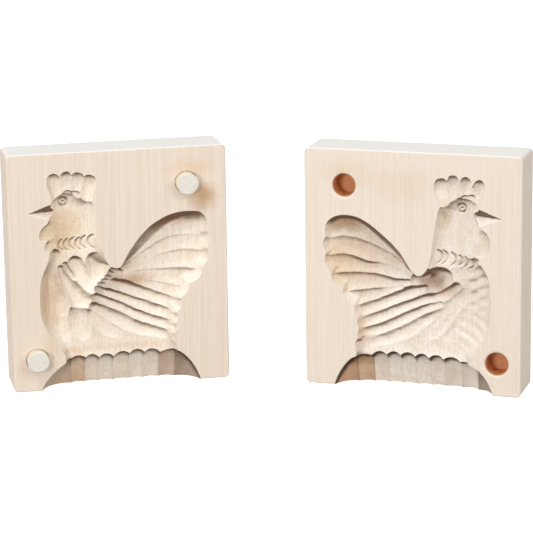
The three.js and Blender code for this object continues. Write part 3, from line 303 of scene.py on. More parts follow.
SOCKET_HALF_HEN = [
    # Comb
    (SOCKET_HALF_COMB_OUTLINE, [
        (2.0, 0.0, [
            [(25, 93, 5.4, 2.5), (22.4, 100, 5, 2.9), (21.2, 104.6, 4.4, 3.2)],
            [(27.8, 97, 5.4, 2.5), (27.8, 102, 5, 2.9), (27.8, 105.8, 4.4, 3.2)],
            [(33.4, 97, 5.4, 2.5), (34.2, 102, 5.2, 2.9), (34.4, 106.2, 4.8, 3.2)],
            [(37.6, 95, 5.4, 2.5), (39.4, 100.5, 5.2, 2.9), (40.7, 104.4, 4.8, 3.2)],
        ]),
    ]),
    # Beak, and two small arcs over the crest
    (None, [
        (1.0, 0.0, [[(10.4, 89, 0.3, 0.2), (22.6, 89.2, 4.7, 4.8)]]),
        (6.0, 0.0, [
            [(25.4, 98, 2.7, 3.4), (25.8, 98, 2.7, 3.4)],
            [(28.4, 97.6, 2.7, 3.4), (28.8, 97.6, 2.7, 3.4)],
        ]),
    ]),
    (SOCKET_HALF_BODY_OUTLINE, [
        # Wattle
        (2.2, 0.0, [[(24, 80, 7, 3.6), (20, 76.5, 7, 3.3), (22, 70.6, 6, 3.4)]]),
        # Head and neck
        (3.0, 0.0, [
            [(29, 92, 9, 5), (31.5, 85, 13, 5.6), (33, 77, 13, 5.6), (34, 70, 13.5, 5), (35, 65, 12, 4.6)],
        ]),
        # Breast, in rows
        (2.2, 0.0, [
            [(25, 63.4, 8, 5.1), (32, 63.8, 8, 5.6)],
            [(22.4, 58.4, 11, 5.9), (30, 59.2, 11, 6.3)],
            [(21.6, 52.8, 12, 6.3), (28, 53.8, 12, 6.7)],
            [(21.4, 46.8, 12, 6.5), (26, 48, 12, 6.9)],
            [(21.4, 40.8, 12, 6.5), (25.6, 42.4, 12, 6.9)],
            [(22, 34.8, 12, 6.4), (26, 36.6, 12, 6.8)],
            [(23.6, 29.2, 11, 6), (28, 31, 11, 6.5)],
            [(26.4, 24.4, 9, 5.5), (31, 25.6, 9, 6)],
        ]),
        # Belly
        (2.2, 0.0, [
            [(28, 51, 8, 7), (33, 45.4, 10, 7.5), (38.4, 38.4, 11, 7.5), (45.4, 30, 11, 7),
             (53, 24.4, 9, 6)],
            [(30, 38, 10, 7), (35, 30, 12, 6.8), (40, 24.4, 9, 5.8)],
        ]),
        # Round scoop on the back, and the pit beside it
        (2.6, 0.0, [[(40.8, 56.4, 8, 8.9), (44.4, 53.4, 8, 9.2)]]),
        (2.0, 0.0, [[(47.6, 56.6, 6, 7.4), (54, 54.8, 6, 8.2)]]),
        # Wing
        (2.0, 0.0, [
            [(49.4, 50.6, 4, 8.6), (57, 48.2, 6, 8.9), (61, 46.5, 6, 8.6), (66, 44.4, 6, 7.9),
             (71, 42.2, 6, 7), (76, 40.2, 6, 6), (81, 38.2, 6, 4.5), (84.2, 36.8, 5.6, 3.2)],
            [(33.4, 52.4, 4.6, 7.8), (39, 48.6, 6, 8.3), (45, 46.2, 5.6, 8.4), (51, 44.6, 5, 8.4),
             (61, 40.3, 5.6, 8), (66, 37.9, 6, 7.4), (71, 35.7, 6, 6.6), (76, 33.8, 6, 5.5),
             (82.4, 31.4, 5.6, 3.2)],
            [(42, 43, 5.4, 7.4), (46.4, 41.6, 5.2, 7.8), (51, 39.6, 5, 8.1), (58, 35.8, 6, 8),
             (66, 31.7, 5.6, 7.3), (71, 29.3, 5.6, 6.5), (76, 27.7, 5.4, 5.4), (82.2, 25.8, 5.2, 3.2)],
            [(38, 40.6, 6, 7.1), (44, 37.4, 6.4, 7.5), (51, 33.4, 7, 7.8), (58, 28.8, 8, 7.5),
             (66, 25, 7.6, 6.8), (74, 22.2, 6.6, 5.4), (82.6, 20.4, 5.4, 3.2)],
        ]),
        # Tail
        (2.2, FEATHER_SKEW / 2, [
            [(56.6, 60.4, 4, 5.4), (61, 65.6, 7, 6.2), (66, 70.6, 9, 6.6), (72, 75.6, 10, 6.9),
             (79, 79.6, 10, 6.9), (86, 81.6, 10, 6.3), (94, 81, 9.5, 4.8)],
            [(57, 58.6, 5, 6.2), (66, 64, 9, 7), (74, 68, 9, 6.9), (82, 71, 8.6, 6.4), (90, 72.6, 8.6, 5.3),
             (96, 71.6, 8, 3.8)],
            [(57.6, 57.2, 5, 6.4), (66, 60, 7, 6.8), (72, 60.9, 7, 6.7), (79, 60.9, 6, 6.4),
             (84, 62.2, 7, 5.9), (90, 63.4, 8, 4.9), (96, 62.4, 7.6, 3.6)],
            [(58, 53.6, 4, 6.8), (66, 52.6, 6.6, 6.8), (74, 54.2, 7.6, 6.6), (81, 54.6, 7.6, 5.9),
             (87, 54.2, 7.6, 4.9), (93, 53.6, 7, 3.6)],
            [(62, 51, 4.4, 6.8), (70, 48.6, 6, 6.4), (77, 46.8, 6.8, 5.6), (86, 45.4, 6.8, 3.6)],
        ]),
        # Strip above the nest
        (2.0, 0.0, [[(30, 24, 15, 5.8), (56, 24, 15, 6), (70, 23, 14, 5.2), (80, 21, 12, 4)]]),
    ]),
]

# The ridges between the flutes, as (u, v, rise): where their upper ends are, which are the
# points of the scallops, and how far the next scallop rises above them
PIN_HALF_FLUTES = (
    (30.3, 15, 1.2), (37.3, 14.4, 1.9), (44, 14, 1.9), (51.5, 14, 1.9), (59.6, 15, 1.9),
    (67.3, 15.2, 1.9), (75, 14.8, 0.6), (83.2, 16.2, 0),
)
SOCKET_HALF_FLUTES = (
    (23, 13.4, 0.9), (31.4, 15.4, 1.7), (40, 15.8, 1.9), (47.4, 15.9, 1.9), (54.6, 16.2, 1.9),
    (62, 16.3, 1.9), (69, 16.3, 1.9), (76.6, 15.8, 0.7), (84.6, 15.2, 0),
)

# The eye: centre, radius of the ring round it, half width and depth of that ring's groove,
# half width and depth of the dimple in its middle
PIN_HALF_EYE = (27.6, 94.2, 1.9, 0.55, 1.6, 0.6, 1.5)
SOCKET_HALF_EYE = (30.8, 92.6, 2.0, 0.55, 1.4, 0.6, 1.2)

# A neck nick is an arc through these points, measured from its upper end: (across, up, half
# width, depth). The nicks are (u, v, size) of their upper ends.
NICK_ARC = (
    (0, 0, 0.7, 1.2), (-1.6, -1.4, 0.8, 1.7), (-2.1, -3.2, 0.8, 1.5), (-1.3, -5, 0.7, 1.1),
    (0.7, -6.6, 0.6, 0.4),
)
NICK_SECTION = 1.3
PIN_HALF_NICKS = (
    (26.3, 74.8, 0.8), (29.3, 74.9, 0.9), (32.4, 75.4, 0.95), (35.4, 75.2, 0.95), (38.2, 76, 1),
    (42, 76.8, 1.1),
)
SOCKET_HALF_NICKS = (
    (26, 67.2, 0.75), (29, 68, 0.75), (32, 68.6, 0.8), (35.8, 69.8, 1), (40, 70.8, 1.05),
    (42.6, 71, 1.05),
)

# Marks of a skipping tool, and shallow rows of short cuts on a breast: middle (u, v), half
# length and half height of the patch, angle across the marks in degrees, distance between
# them, and their depth
PIN_HALF_CHATTER = (
    (45.2, 59.4, 4.2, 3.8, 120, 1.15, 0.16), (39, 34.4, 3, 2.4, 60, 1.4, 0.1),
    (60, 17.4, 16, 2, 40, 1.3, 0.05),
)
SOCKET_HALF_CHATTER = (
    (52.6, 19.4, 4.4, 1.8, 45, 0.95, 0.2), (40.8, 29, 2.8, 2.2, 130, 1.1, 0.14),
    (43, 55.6, 4, 3.6, 150, 0.9, 0.14), (90, 83, 8, 4, 10, 1.7, 0.12),
    (20, 52, 8, 12, 62, 5.2, 0.3), (24, 32, 9, 11, 118, 5.2, 0.26), (40, 32, 9, 8, 40, 4.6, 0.2),
)

# Stains from oil and rubbing, painted shade on walls and in hollows that face away from the
# lamps, and darker patches at the nest's ends under its roof, as marked below: middle (u, v),
# half length, half height, the tint that the wood's colour is multiplied by, and how much of it
PIN_HALF_FACE_STAINS_AND_SHADOW = (
    # The first is a brown stain below right of the upper pin, darker still as a painted shadow of the pin.
    (98, 95, 9, 9, "d6b58a", 0.8), (92, 110, 16, 6, "f2dcbc", 0.4), (20, 24, 6, 12, "f0dcc0", 0.4),
)
PIN_HALF_CUT_STAINS_AND_SHADE = (
    # Painted shade: the hollow at the wing's roots (62, 53), the tail's base (57, 62), the tail's upper
    # wall (75, 84) and the strip above the nest (56, 19). (90, 13) and (27, 12) darken the nest near its
    # ends, under its roof.
    (27, 2, 14, 6, "f0cc90", 0.5), (90, 13, 8, 6, "74543e", 0.8), (27, 12, 6, 4, "a08468", 0.7),
    (30, 18.5, 9, 3, "dcc090", 0.35), (62, 53, 16, 4, "ccac90", 0.6), (57, 62, 7, 6, "d0b090", 0.5),
    (26, 80, 14, 16, "e8d8b8", 0.8), (19, 46, 9, 24, "dcc6a8", 0.55), (75, 84, 26, 5, "c0a084", 0.6),
    (56, 19, 26, 2.4, "dccab8", 0.3),
)
SOCKET_HALF_FACE_STAINS = (
    (88, 108, 18, 10, "f4e2c8", 0.4), (60, 104, 20, 12, "f6e6d2", 0.4),
)
SOCKET_HALF_CUT_STAINS_AND_SHADE = (
    # Painted shade: the wing's feather tips (82, 31), the tail's upper wall (90, 83), the round scoop (47,
    # 55), the back wall of the neck (39.5, 90) and the wing's groove under the scoop (38, 50). (84, 13) and
    # (20, 9) darken the nest near its ends, under its roof.
    (96, 3, 16, 6, "ecc090", 0.4), (84, 13, 14, 5, "5c4434", 0.95), (82, 31, 8, 16, "dab890", 0.35),
    (90, 83, 12, 6, "c8a47c", 0.7), (94, 64, 9, 20, "ecd2a8", 0.4), (47, 55, 11, 5, "b08c70", 0.7),
    (39.5, 90, 5, 10, "dcc09c", 0.45), (38, 50, 14, 4, "ccb09a", 0.5), (17, 77, 4, 7, "e4ccaa", 0.4),
    (58, 66, 18, 7, "dcc8b0", 0.5), (20, 9, 8, 8, "a89484", 0.6), (84, 64, 22, 26, "e8dacc", 0.8),
)
# Dark patches in the holes, high on their outer side
HOLE_DARK_PATCHES = (
    (86, 106.4, 2.4, 2.6, "5c3820", 0.9), (8.6, 20.2, 2.4, 2.6, "5c3820", 0.9),
)

# Colour of the nest's back wall in each flute, from its outer end, and how much of it covers
# the wood's own. The near-white ones are painted light, which lifts the back wall in the roof's
# shade; the ochre and brown ones near the ends are the wood's own tints, and the flutes at the
# very ends are darker.
PIN_HALF_FLUTE_LIGHT_AND_TINTS = (
    "dcc6ae", "e6c8aa", "fff2e0", "fff6e8", "fff2e0", "fff6e8", "fff6e8", "d8bea8", "a08674",
)
SOCKET_HALF_FLUTE_LIGHT_AND_TINTS = (
    "988676", "fff6ec", "fff4e6", "fff6ea", "fff8ee", "fff8ee", "fff8ee", "fff2e2", "dcb48a", "c4966a",
)
FLUTE_LIGHT_AND_TINT_SHARE = 0.72
# Painted shade: how much darker a flute's wall is towards the ridge on its right,
# RIDGE_SHADE * (share of the way across the flute) ** RIDGE_SHADE_POWER
RIDGE_SHADE = 0.35
RIDGE_SHADE_POWER = 8

# Slots of the carved halves' meshes
PLANED, CARVED, DRILLED = range(3)


class Half:
    """One half: how its plan lies in the frame, what is carved into it, and its wood. The
    carving is its regions and how far they are shifted on the plan."""

    def __init__(self, node, mirror, carving, marks, nest, wood):
        self.node = node
        self.mirror = mirror
        self.turn = mirror * OPEN_TURN
        self.face = mirror * FOLD_AHEAD_OF_FACE + CLOSED_GAP / 2
        self.regions, self.hen_shift = carving
        self.eye, self.nicks, self.chatter = marks
        self.flutes, self.flute_light_and_tints = nest
        for name, value in wood.items():
            setattr(self, name, value)

    def to_frame(self, points):
        """Plan points (u, depth, v) in millimetres to the frame in metres: slid out from the
        fold line, mirrored for the socket half, turned open about the fold line."""
        u, depth, v = np.moveaxis(np.asarray(points, float), -1, 0)
        x = self.mirror * (u - FOLD_TO_BLOCK - BLOCK_WIDTH)
        y = self.face + depth
        cos, sin = math.cos(self.turn), math.sin(self.turn)
        placed = np.stack([x * cos - y * sin, x * sin + y * cos, v], axis=-1) * MM
        return placed + np.array([FOLD_LINE.x, FOLD_LINE.y, 0.0])

    def from_frame(self, points):
        """Points of the frame back to u and v in millimetres."""
        x, y, z = np.moveaxis((points - np.array([FOLD_LINE.x, FOLD_LINE.y, 0.0])) / MM, -1, 0)
        across = x * math.cos(self.turn) + y * math.sin(self.turn)
        return self.mirror * across + FOLD_TO_BLOCK + BLOCK_WIDTH, z


PIN_HALF = Half(
    "pin_half", mirror=1,
    carving=(PIN_HALF_HEN, (0.5, 1.1)),
    marks=(PIN_HALF_EYE, PIN_HALF_NICKS, PIN_HALF_CHATTER),
    nest=(PIN_HALF_FLUTES, PIN_HALF_FLUTE_LIGHT_AND_TINTS),
    wood={
        "streak_colour": "d9bfa6", "carved_colour": "f8ecdd", "blotch_colour": "ead8c0",
        "face_stains": PIN_HALF_FACE_STAINS_AND_SHADOW, "cut_stains": PIN_HALF_CUT_STAINS_AND_SHADE,
        "grain_strength": 0.24, "scorch_strength": 0.6,
    },
)
SOCKET_HALF = Half(
    "socket_half", mirror=-1,
    carving=(SOCKET_HALF_HEN, (0.2, 0.5)),
    marks=(SOCKET_HALF_EYE, SOCKET_HALF_NICKS, SOCKET_HALF_CHATTER),
    nest=(SOCKET_HALF_FLUTES, SOCKET_HALF_FLUTE_LIGHT_AND_TINTS),
    wood={
        "streak_colour": "d3c2b2", "carved_colour": "f2e8dc", "blotch_colour": "e2d4c0",
        "face_stains": SOCKET_HALF_FACE_STAINS, "cut_stains": SOCKET_HALF_CUT_STAINS_AND_SHADE,
        "grain_strength": 0.22, "scorch_strength": 0.92,
    },
)


# Meshes

def grid_quads(rows, columns, wrap=False):
    """Quads of a grid of points that is stored row after row, joined round if wrap is set."""
    across = columns if wrap else columns - 1
    row, column = np.meshgrid(np.arange(rows - 1), np.arange(across), indexing="ij")
    here = row * columns + column
    beside = row * columns + (column + 1) % columns
    return np.stack([here, beside, beside + columns, here + columns], axis=-1).reshape(-1, 4)


def fan(loop, centre):
    """Triangles from each side of a closed loop of point numbers to one centre point."""
    return np.stack([loop, np.roll(loop, -1), np.full(len(loop), centre)], axis=-1)


def signed_volume(points, triangles):
    a, b, c = (points[triangles[:, i]] for i in range(3))
    return np.einsum("ij,ij->i", a, np.cross(b, c)).sum() / 6


def closed_mesh(name, points, quads, triangles, slot=PLANED):
    """A mesh of quads and triangles in metres, turned so that its faces point outwards."""
    halves = np.concatenate([quads[:, [0, 1, 2]], quads[:, [0, 2, 3]], triangles])
    if signed_volume(points - points.mean(axis=0), halves) < 0:
        quads, triangles = quads[:, ::-1], triangles[:, ::-1]
    mesh = bpy.data.meshes.new(name)
    mesh.vertices.add(len(points))
    mesh.vertices.foreach_set("co", points.astype(np.float32).ravel())
    corners = np.concatenate([quads.ravel(), triangles.ravel()]).astype(np.int32)
    mesh.loops.add(len(corners))
    mesh.loops.foreach_set("vertex_index", corners)
    starts = np.concatenate([np.arange(len(quads)) * 4, len(quads) * 4 + np.arange(len(triangles)) * 3])
    mesh.polygons.add(len(starts))
    mesh.polygons.foreach_set("loop_start", starts.astype(np.int32))
    mesh.polygons.foreach_set("material_index", np.full(len(starts), slot, np.int32))
    mesh.update(calc_edges=True)
    return mesh


def capped_tube(name, half, rings, ends, slot=PLANED):
    """A closed mesh of rings of plan points, a row to a ring, joined one to the next. A fan of
    triangles to one point closes it at each end."""
    rows, columns = rings.shape[:2]
    count = rows * columns
    points = np.concatenate([rings.reshape(-1, 3), ends])
    first, last = np.arange(columns)[::-1], np.arange(count - columns, count)
    triangles = np.concatenate([fan(first, count), fan(last, count + 1)])
    quads = grid_quads(rows, columns, wrap=True)
    return closed_mesh(name, half.to_frame(points), quads, triangles, slot)


def new_object(name, data):
    thing = bpy.data.objects.new(name, data)
    bpy.context.scene.collection.objects.link(thing)
    return thing


def waves(u, v, height, length, seed):
    """Soft bumps: height * the mean of a dozen sine waves of about one length, each at its own
    seeded angle and phase."""
    draw = np.random.default_rng(seed)
    total = np.zeros(np.broadcast(u, v).shape)
    count = 12
    angles = draw.uniform(0, math.pi, count)
    phases = draw.uniform(0, 2 * math.pi, count)
    stretches = draw.uniform(0.7, 1.4, count)
    for angle, phase, stretch in zip(angles, phases, stretches):
        turn = 2 * math.pi / (length * stretch)
        total += np.sin(turn * (u * math.cos(angle) + v * math.sin(angle)) + phase)
    return height * (total / count)


# Block

def rounded_outline(radius):
    """The block's outline on the plan, with corners that are quarter circles, and the way in
    across its edge at each point."""
    step = 2.0
    corner = np.linspace(0, math.pi / 2, 10)
    right, top = BLOCK_WIDTH - radius, BLOCK_HEIGHT - radius
    centres = np.array([(right, top), (radius, top), (radius, radius), (right, radius)])
    outline, inward = [], []
    for quarter, (centre, following) in enumerate(zip(centres, np.roll(centres, -1, axis=0))):
        angle = corner + quarter * math.pi / 2
        way = np.stack([np.cos(angle), np.sin(angle)], axis=-1)
        count = int(math.dist(centre, following) / step)
        along = np.linspace(0, 1, count + 2)[1:-1, None]
        outline += [centre + radius * way, centre + along * (following - centre) + radius * way[-1]]
        inward += [-way, np.repeat(-way[-1:], count, axis=0)]
    return np.concatenate(outline), np.concatenate(inward)


def block_mesh(half, sizes):
    """The rounded outline carried through the thickness. Across each long edge it draws in
    along a quarter circle, a little more in some places than in others, as edges do that
    were sanded by hand. Each face is a set of rings that shrink to a point in its middle."""
    outline, inward = rounded_outline(sizes.corner_radius / MM)
    worn = sizes.edge_round / MM * (1 + waves(outline[:, 0], outline[:, 1], *EDGE_WEAR, half.mirror + 7))
    turn = np.linspace(0, math.pi / 2, 6)[:, None]
    edge_ring = outline + inward * worn[:, None] * (1 - np.sin(turn))[..., None]
    edge_depth = worn * (1 - np.cos(turn))
    middle = np.array([BLOCK_WIDTH / 2, BLOCK_HEIGHT / 2])
    draw_in = np.linspace(0, 1, 16)[1:-1, None, None]
    face_ring = middle + draw_in * (edge_ring[0] - middle)
    plan = np.concatenate([face_ring, edge_ring])
    plan = np.concatenate([plan, plan[::-1]])
    depth = np.concatenate([np.zeros(face_ring.shape[:2]), edge_depth])
    depth = np.concatenate([depth, BLOCK_THICKNESS - depth[::-1]])
    rings = np.stack([plan[..., 0], depth, plan[..., 1]], axis=-1)
    ends = [[middle[0], 0, middle[1]], [middle[0], BLOCK_THICKNESS, middle[1]]]
    return capped_tube("block", half, rings, ends)


# Hen

def curve_through(points):
    """A Catmull-Rom curve through points, in all of their numbers."""
    points = np.array(points, float)
    padded = np.concatenate([points[:1], points, points[-1:]])
    before, start, end, after = (p[:, None] for p in (padded[:-3], padded[1:-2], padded[2:-1], padded[3:]))
    t = (np.arange(STEPS_PER_SPAN) / STEPS_PER_SPAN)[None, :, None]
    pull, push, rise = (end - before) / 2, (after - start) / 2, end - start
    curve = start + t * (pull + t * (3 * rise - 2 * pull - push + t * (pull + push - 2 * rise)))
    return np.concatenate([curve.reshape(-1, points.shape[1]), points[-1:]])


def from_segment(start, end, u, v):
    """How far along a straight piece each point of the plan is, from 0 to 1, its distance from
    the piece, and how far it lies left of the piece's way, from 1 on its left to -1 on its
    right."""
    du, dv = end[0] - start[0], end[1] - start[1]
    pu, pv = u - start[0], v - start[1]
    share = np.clip((pu * du + pv * dv) / (du * du + dv * dv), 0, 1)
    away = np.hypot(pu - share * du, pv - share * dv)
    return share, away, (du * pv - dv * pu) / (math.hypot(du, dv) * np.maximum(away, 1e-6))


def window(start, end, reach, u, v):
    """The rows and columns of the plan that lie within a reach of a straight piece."""
    low_u, low_v = np.minimum(start, end)[:2] - reach
    high_u, high_v = np.maximum(start, end)[:2] + reach
    columns = slice(*np.searchsorted(u[0], (low_u, high_u)))
    return slice(*np.searchsorted(v[:, 0], (low_v, high_v))), columns


def stroke_depth(points, section, skew, u, v, shift_u=0.0, shift_v=0.0):
    """Depth of one stroke's bed over the plan: for each straight piece of its curve,
    depth * (1 - (distance / half width) ** section), and the deepest piece counts. The
    shifts are an unsteady hand's."""
    samples = curve_through(points)
    bed = np.full(u.shape, -PASS_OVER)
    shifted_u, shifted_v = u + shift_u, v + shift_v
    for start, end in zip(samples[:-1], samples[1:]):
        near = window(start, end, BED_REACH * max(start[2], end[2]), u, v)
        share, away, left = from_segment(start, end, shifted_u[near], shifted_v[near])
        width = (start[2] + share * (end[2] - start[2])) * (1 - skew * left)
        depth = start[3] + share * (end[3] - start[3])
        bed[near] = np.maximum(bed[near], depth * (1 - (away / width) ** section))
    return bed


def wall_depth(outline, u, v):
    """How deep an outline lets the carving go: WALL_DEPTH * (1 - (1 - distance / run) ** 2)
    inside it, and on upwards at the same slope outside it."""
    samples = np.concatenate([curve_through(curve)[:-1] for curve in outline])
    longest_run = samples[:, 2].max()
    distance = np.full(u.shape, np.inf)
    run = np.ones_like(distance)
    inside = np.zeros(distance.shape, bool)
    for start, end in zip(samples, np.roll(samples, -1, axis=0)):
        near = window(start, end, longest_run, u, v)
        share, away, _ = from_segment(start, end, u[near], v[near])
        nearer = away < distance[near]
        distance[near] = np.where(nearer, away, distance[near])
        run[near] = np.where(nearer, start[2] + share * (end[2] - start[2]), run[near])
        rows = (v[:, 0] >= start[1]) != (v[:, 0] >= end[1])
        crossing = start[0] + (v[rows] - start[1]) * (end[0] - start[0]) / (end[1] - start[1] or 1)
        inside[rows] ^= u[rows] < crossing
    share = distance / run
    below = WALL_DEPTH * (1 - (1 - np.minimum(share, 1)) ** 2)
    return np.where(inside, below, np.maximum(-2 * WALL_DEPTH * share, -PASS_OVER))


def eye_depth(eye, u, v):
    """What the eye adds: a ring-shaped groove and a dimple, each exp(-(distance / half width) ** 2)."""
    centre_u, centre_v, ring, ring_width, ring_depth, dimple_width, dimple_depth = eye
    away = np.hypot(u - centre_u, v - centre_v)
    groove = ring_depth * np.exp(-((away - ring) / ring_width) ** 2)
    return groove + dimple_depth * np.exp(-(away / dimple_width) ** 2)


def nick_depth(nicks, u, v):
    """What the neck nicks add: a V-shaped stroke along each arc."""
    total = np.zeros_like(u)
    for upper_u, upper_v, size in nicks:
        arc = [(upper_u + across * size, upper_v + up * size, width, deep)
               for across, up, width, deep in NICK_ARC]
        total = np.maximum(total, stroke_depth(arc, NICK_SECTION, 0.0, u, v))
    return total


def chatter_depth(patches, u, v):
    """What the chatter adds: depth * cos(turn * way across the marks), faded out over each
    patch by exp(-(distance from its middle) ** 4)."""
    total = np.zeros_like(u)
    for middle_u, middle_v, half_length, half_height, angle, spacing, depth in patches:
        pu, pv = u - middle_u, v - middle_v
        across = pu * math.cos(math.radians(angle)) + pv * math.sin(math.radians(angle))
        uneven = across + waves(u, v, *CHATTER_SWAY, 31)
        fade = np.exp(-((pu / half_length) ** 2 + (pv / half_height) ** 2) ** 2)
        total += depth * fade * np.cos(2 * math.pi * uneven / spacing)
    return total


def hen_depth(half, sizes, u, v):
    """Depth of the whole carving. In a region the strokes are joined by softness * ln(sum of
    exp(depth / softness)), which takes the deepest and wears the ridges a little, and the
    outline's wall is joined to them in the same way, upside down. Soft bumps and the small
    cuts are added where there is wood to cut."""
    softness = sizes.ridge_softness / MM
    fillet = sizes.wall_fillet / MM
    u, v = u - half.hen_shift[0], v - half.hen_shift[1]
    shifts = [waves(u, v, *HAND_SHIFT, seed + half.mirror) for seed in (41, 51)]
    whole = np.full(u.shape, math.exp(-PASS_OVER / softness))
    for outline, groups in half.regions:
        beds = [stroke_depth(points, section, skew, u, v, *shifts)
                for section, skew, strokes in groups for points in strokes]
        depth = softness * np.log(sum(np.exp(bed / softness) for bed in beds))
        if outline:
            wall = wall_depth(outline, u, v)
            depth = -fillet * np.log(np.exp(-depth / fillet) + np.exp(-wall / fillet))
        whole += np.exp(depth / softness)
    depth = softness * np.log(whole)
    inside = np.clip(depth / HEN_MARKS_DEPTH, 0, 1)
    bumps = waves(u, v, *BED_BUMPS, 3 + half.mirror) + waves(u, v, *BED_RIPPLES, 9)
    marks = eye_depth(half.eye, u, v) + nick_depth(half.nicks, u, v) + chatter_depth(half.chatter, u, v)
    return depth + inside * (bumps + marks)


def hen_cutter(half, sizes):
    """The carving's bed as one height surface over a grid. Its rim is carried straight out to
    a level in front of the face, and closed there by triangles to a single point."""
    step = sizes.grid_step / MM
    (left, right), (foot, top) = CARVED_AREA
    u, v = np.meshgrid(np.linspace(left, right, round((right - left) / step) + 1),
                       np.linspace(foot, top, round((top - foot) / step) + 1))
    points = np.stack([u, hen_depth(half, sizes, u, v), v], axis=-1).reshape(-1, 3)
    order = np.arange(len(points)).reshape(u.shape)
    rim = np.concatenate([order[0, :-1], order[:-1, -1], order[-1, :0:-1], order[:0:-1, 0]])
    lid = points[rim] * (1, 0, 1) - (0, 2 * PASS_OVER, 0)
    lid_rim = len(points) + np.arange(len(rim))
    side = np.stack([rim, lid_rim, np.roll(lid_rim, -1), np.roll(rim, -1)], axis=-1)
    quads = np.concatenate([grid_quads(*u.shape), side])
    points = np.concatenate([points, lid, lid.mean(axis=0, keepdims=True)])
    triangles = fan(lid_rim[::-1], len(points) - 1)
    return closed_mesh("hen cutter", half.to_frame(points), quads, triangles, CARVED)


# Nest

def quarter_arc(away, run, roundness):
    """0 at no distance, rising along a quarter arc to 1 at a run's distance: with left as the
    share of the run that is left, (1 - left ** roundness) ** (1 / roundness)."""
    left = 1 - np.clip(away / run, 0, 1)
    return (1 - left ** roundness) ** (1 / roundness)


def flute_share(half, u):
    """Which flute of the nest u lies in, and how far across it, from 0 to 1."""
    stops = np.array([NEST_LEFT, *(ridge[0] for ridge in half.flutes), NEST_RIGHT])
    flute = np.clip(np.searchsorted(stops, u, side="right") - 1, 0, len(stops) - 2)
    share = (u - stops[flute]) / (stops[flute + 1] - stops[flute])
    return flute, np.clip(share, 0, 1)


def nest_outline(half, u):
    """Depth of the nest's back wall at its foot, and height of its roof. The depth follows a
    quarter ellipse in from each end, and the height a flatter arc as far as the first ridge.
    From ridge to ridge an arc, sin(pi * share) ** FLUTE_ROUNDNESS, hollows the back wall and
    lifts the roof's edge into a scallop."""
    ridge_u, ridge_v, ridge_rise = np.array(half.flutes).T
    rises = np.array([0, *ridge_rise])
    flute, share = flute_share(half, u)
    hollow = np.sin(np.pi * share) ** FLUTE_ROUNDNESS
    from_end = np.minimum(u - NEST_LEFT, NEST_RIGHT - u)
    depth = NEST_DEPTH * quarter_arc(from_end, NEST_END_RUN, 2) - FLUTE_RIDGE * (1 - hollow)
    height = np.interp(u, ridge_u, ridge_v) + rises[flute] * hollow
    height *= quarter_arc(u - NEST_LEFT, ridge_u[0] - NEST_LEFT, NEST_ARCH_ROUNDNESS)
    height *= quarter_arc(NEST_RIGHT - u, NEST_RIGHT - ridge_u[-1], NEST_ARCH_ROUNDNESS)
    return np.maximum(depth, -PASS_OVER / 2), height


def nest_sections(depth, height, step):
    """Depth and v along the nest's upright section, one row for each depth and height of its
    outline. It runs up the back wall, which leans forward, rounds over along a quarter
    circle into the roof, and comes out in front of the face."""
    wall = np.linspace(0, 1, round(height.max() / step))
    turn = np.linspace(0, math.pi / 2, 8)
    roof = np.linspace(0, 1, round(NEST_DEPTH / step / 2))[1:]
    rounding = np.minimum(FLUTE_END_ROUND, np.minimum(depth + PASS_OVER, height + PASS_OVER) / 2)[:, None]
    depth, height = depth[:, None], height[:, None]
    back_v = -PASS_OVER + wall * (height - rounding + PASS_OVER)
    back_depth = depth * (1 - NEST_LEAN * np.maximum(back_v, 0))
    depth = back_depth[:, -1:]
    bend_depth = depth - rounding * (1 - np.cos(turn))
    bend_v = height - rounding * (1 - np.sin(turn))
    roof_depth = (depth - rounding) + roof * (-PASS_OVER - depth + rounding)
    roof_v = np.broadcast_to(height, roof_depth.shape)
    foot = np.full_like(depth, -PASS_OVER)
    section_depth = np.concatenate([back_depth, bend_depth, roof_depth, foot], axis=1)
    return section_depth, np.concatenate([back_v, bend_v, roof_v, foot], axis=1)


def nest_cutter(half, sizes):
    """The nest's upright sections, carried across from its outer to its inner end."""
    step = sizes.grid_step / MM
    u = np.linspace(NEST_LEFT, NEST_RIGHT, round((NEST_RIGHT - NEST_LEFT) / step) + 1)
    depth, v = nest_sections(*nest_outline(half, u), step)
    u = np.broadcast_to(u[:, None], v.shape)
    marks = waves(u, v, *NEST_BUMPS, 21 + half.mirror) + waves(u * 3, v, *NEST_RIPPLES, 5)
    depth += marks * np.clip(depth / NEST_MARKS_DEPTH, 0, 1)
    rings = np.stack([u, depth, v], axis=-1)
    return capped_tube("nest cutter", half, rings, rings[[0, -1]].mean(axis=1), CARVED)


# Round pieces and holes

def turned_mesh(name, half, place, profile, slot=PLANED, worn=None):
    """A profile of (radius, depth) turned about an axis square to the face. Its first and last
    points lie on the axis, and worn gives the other points' depths anew."""
    radius, depth = np.array(profile[1:-1], float).T
    angle = np.linspace(0, 2 * math.pi, ROUND_STEPS, endpoint=False)
    u = place[0] + radius[:, None] * np.cos(angle)
    v = place[1] + radius[:, None] * np.sin(angle)
    deep = np.repeat(depth[:, None], ROUND_STEPS, axis=1)
    if worn:
        deep = worn(u, deep, v)
    tips = [[place[0], profile[end][1], place[1]] for end in (0, -1)]
    return capped_tube(name, half, np.stack([u, deep, v], axis=-1), tips, slot)


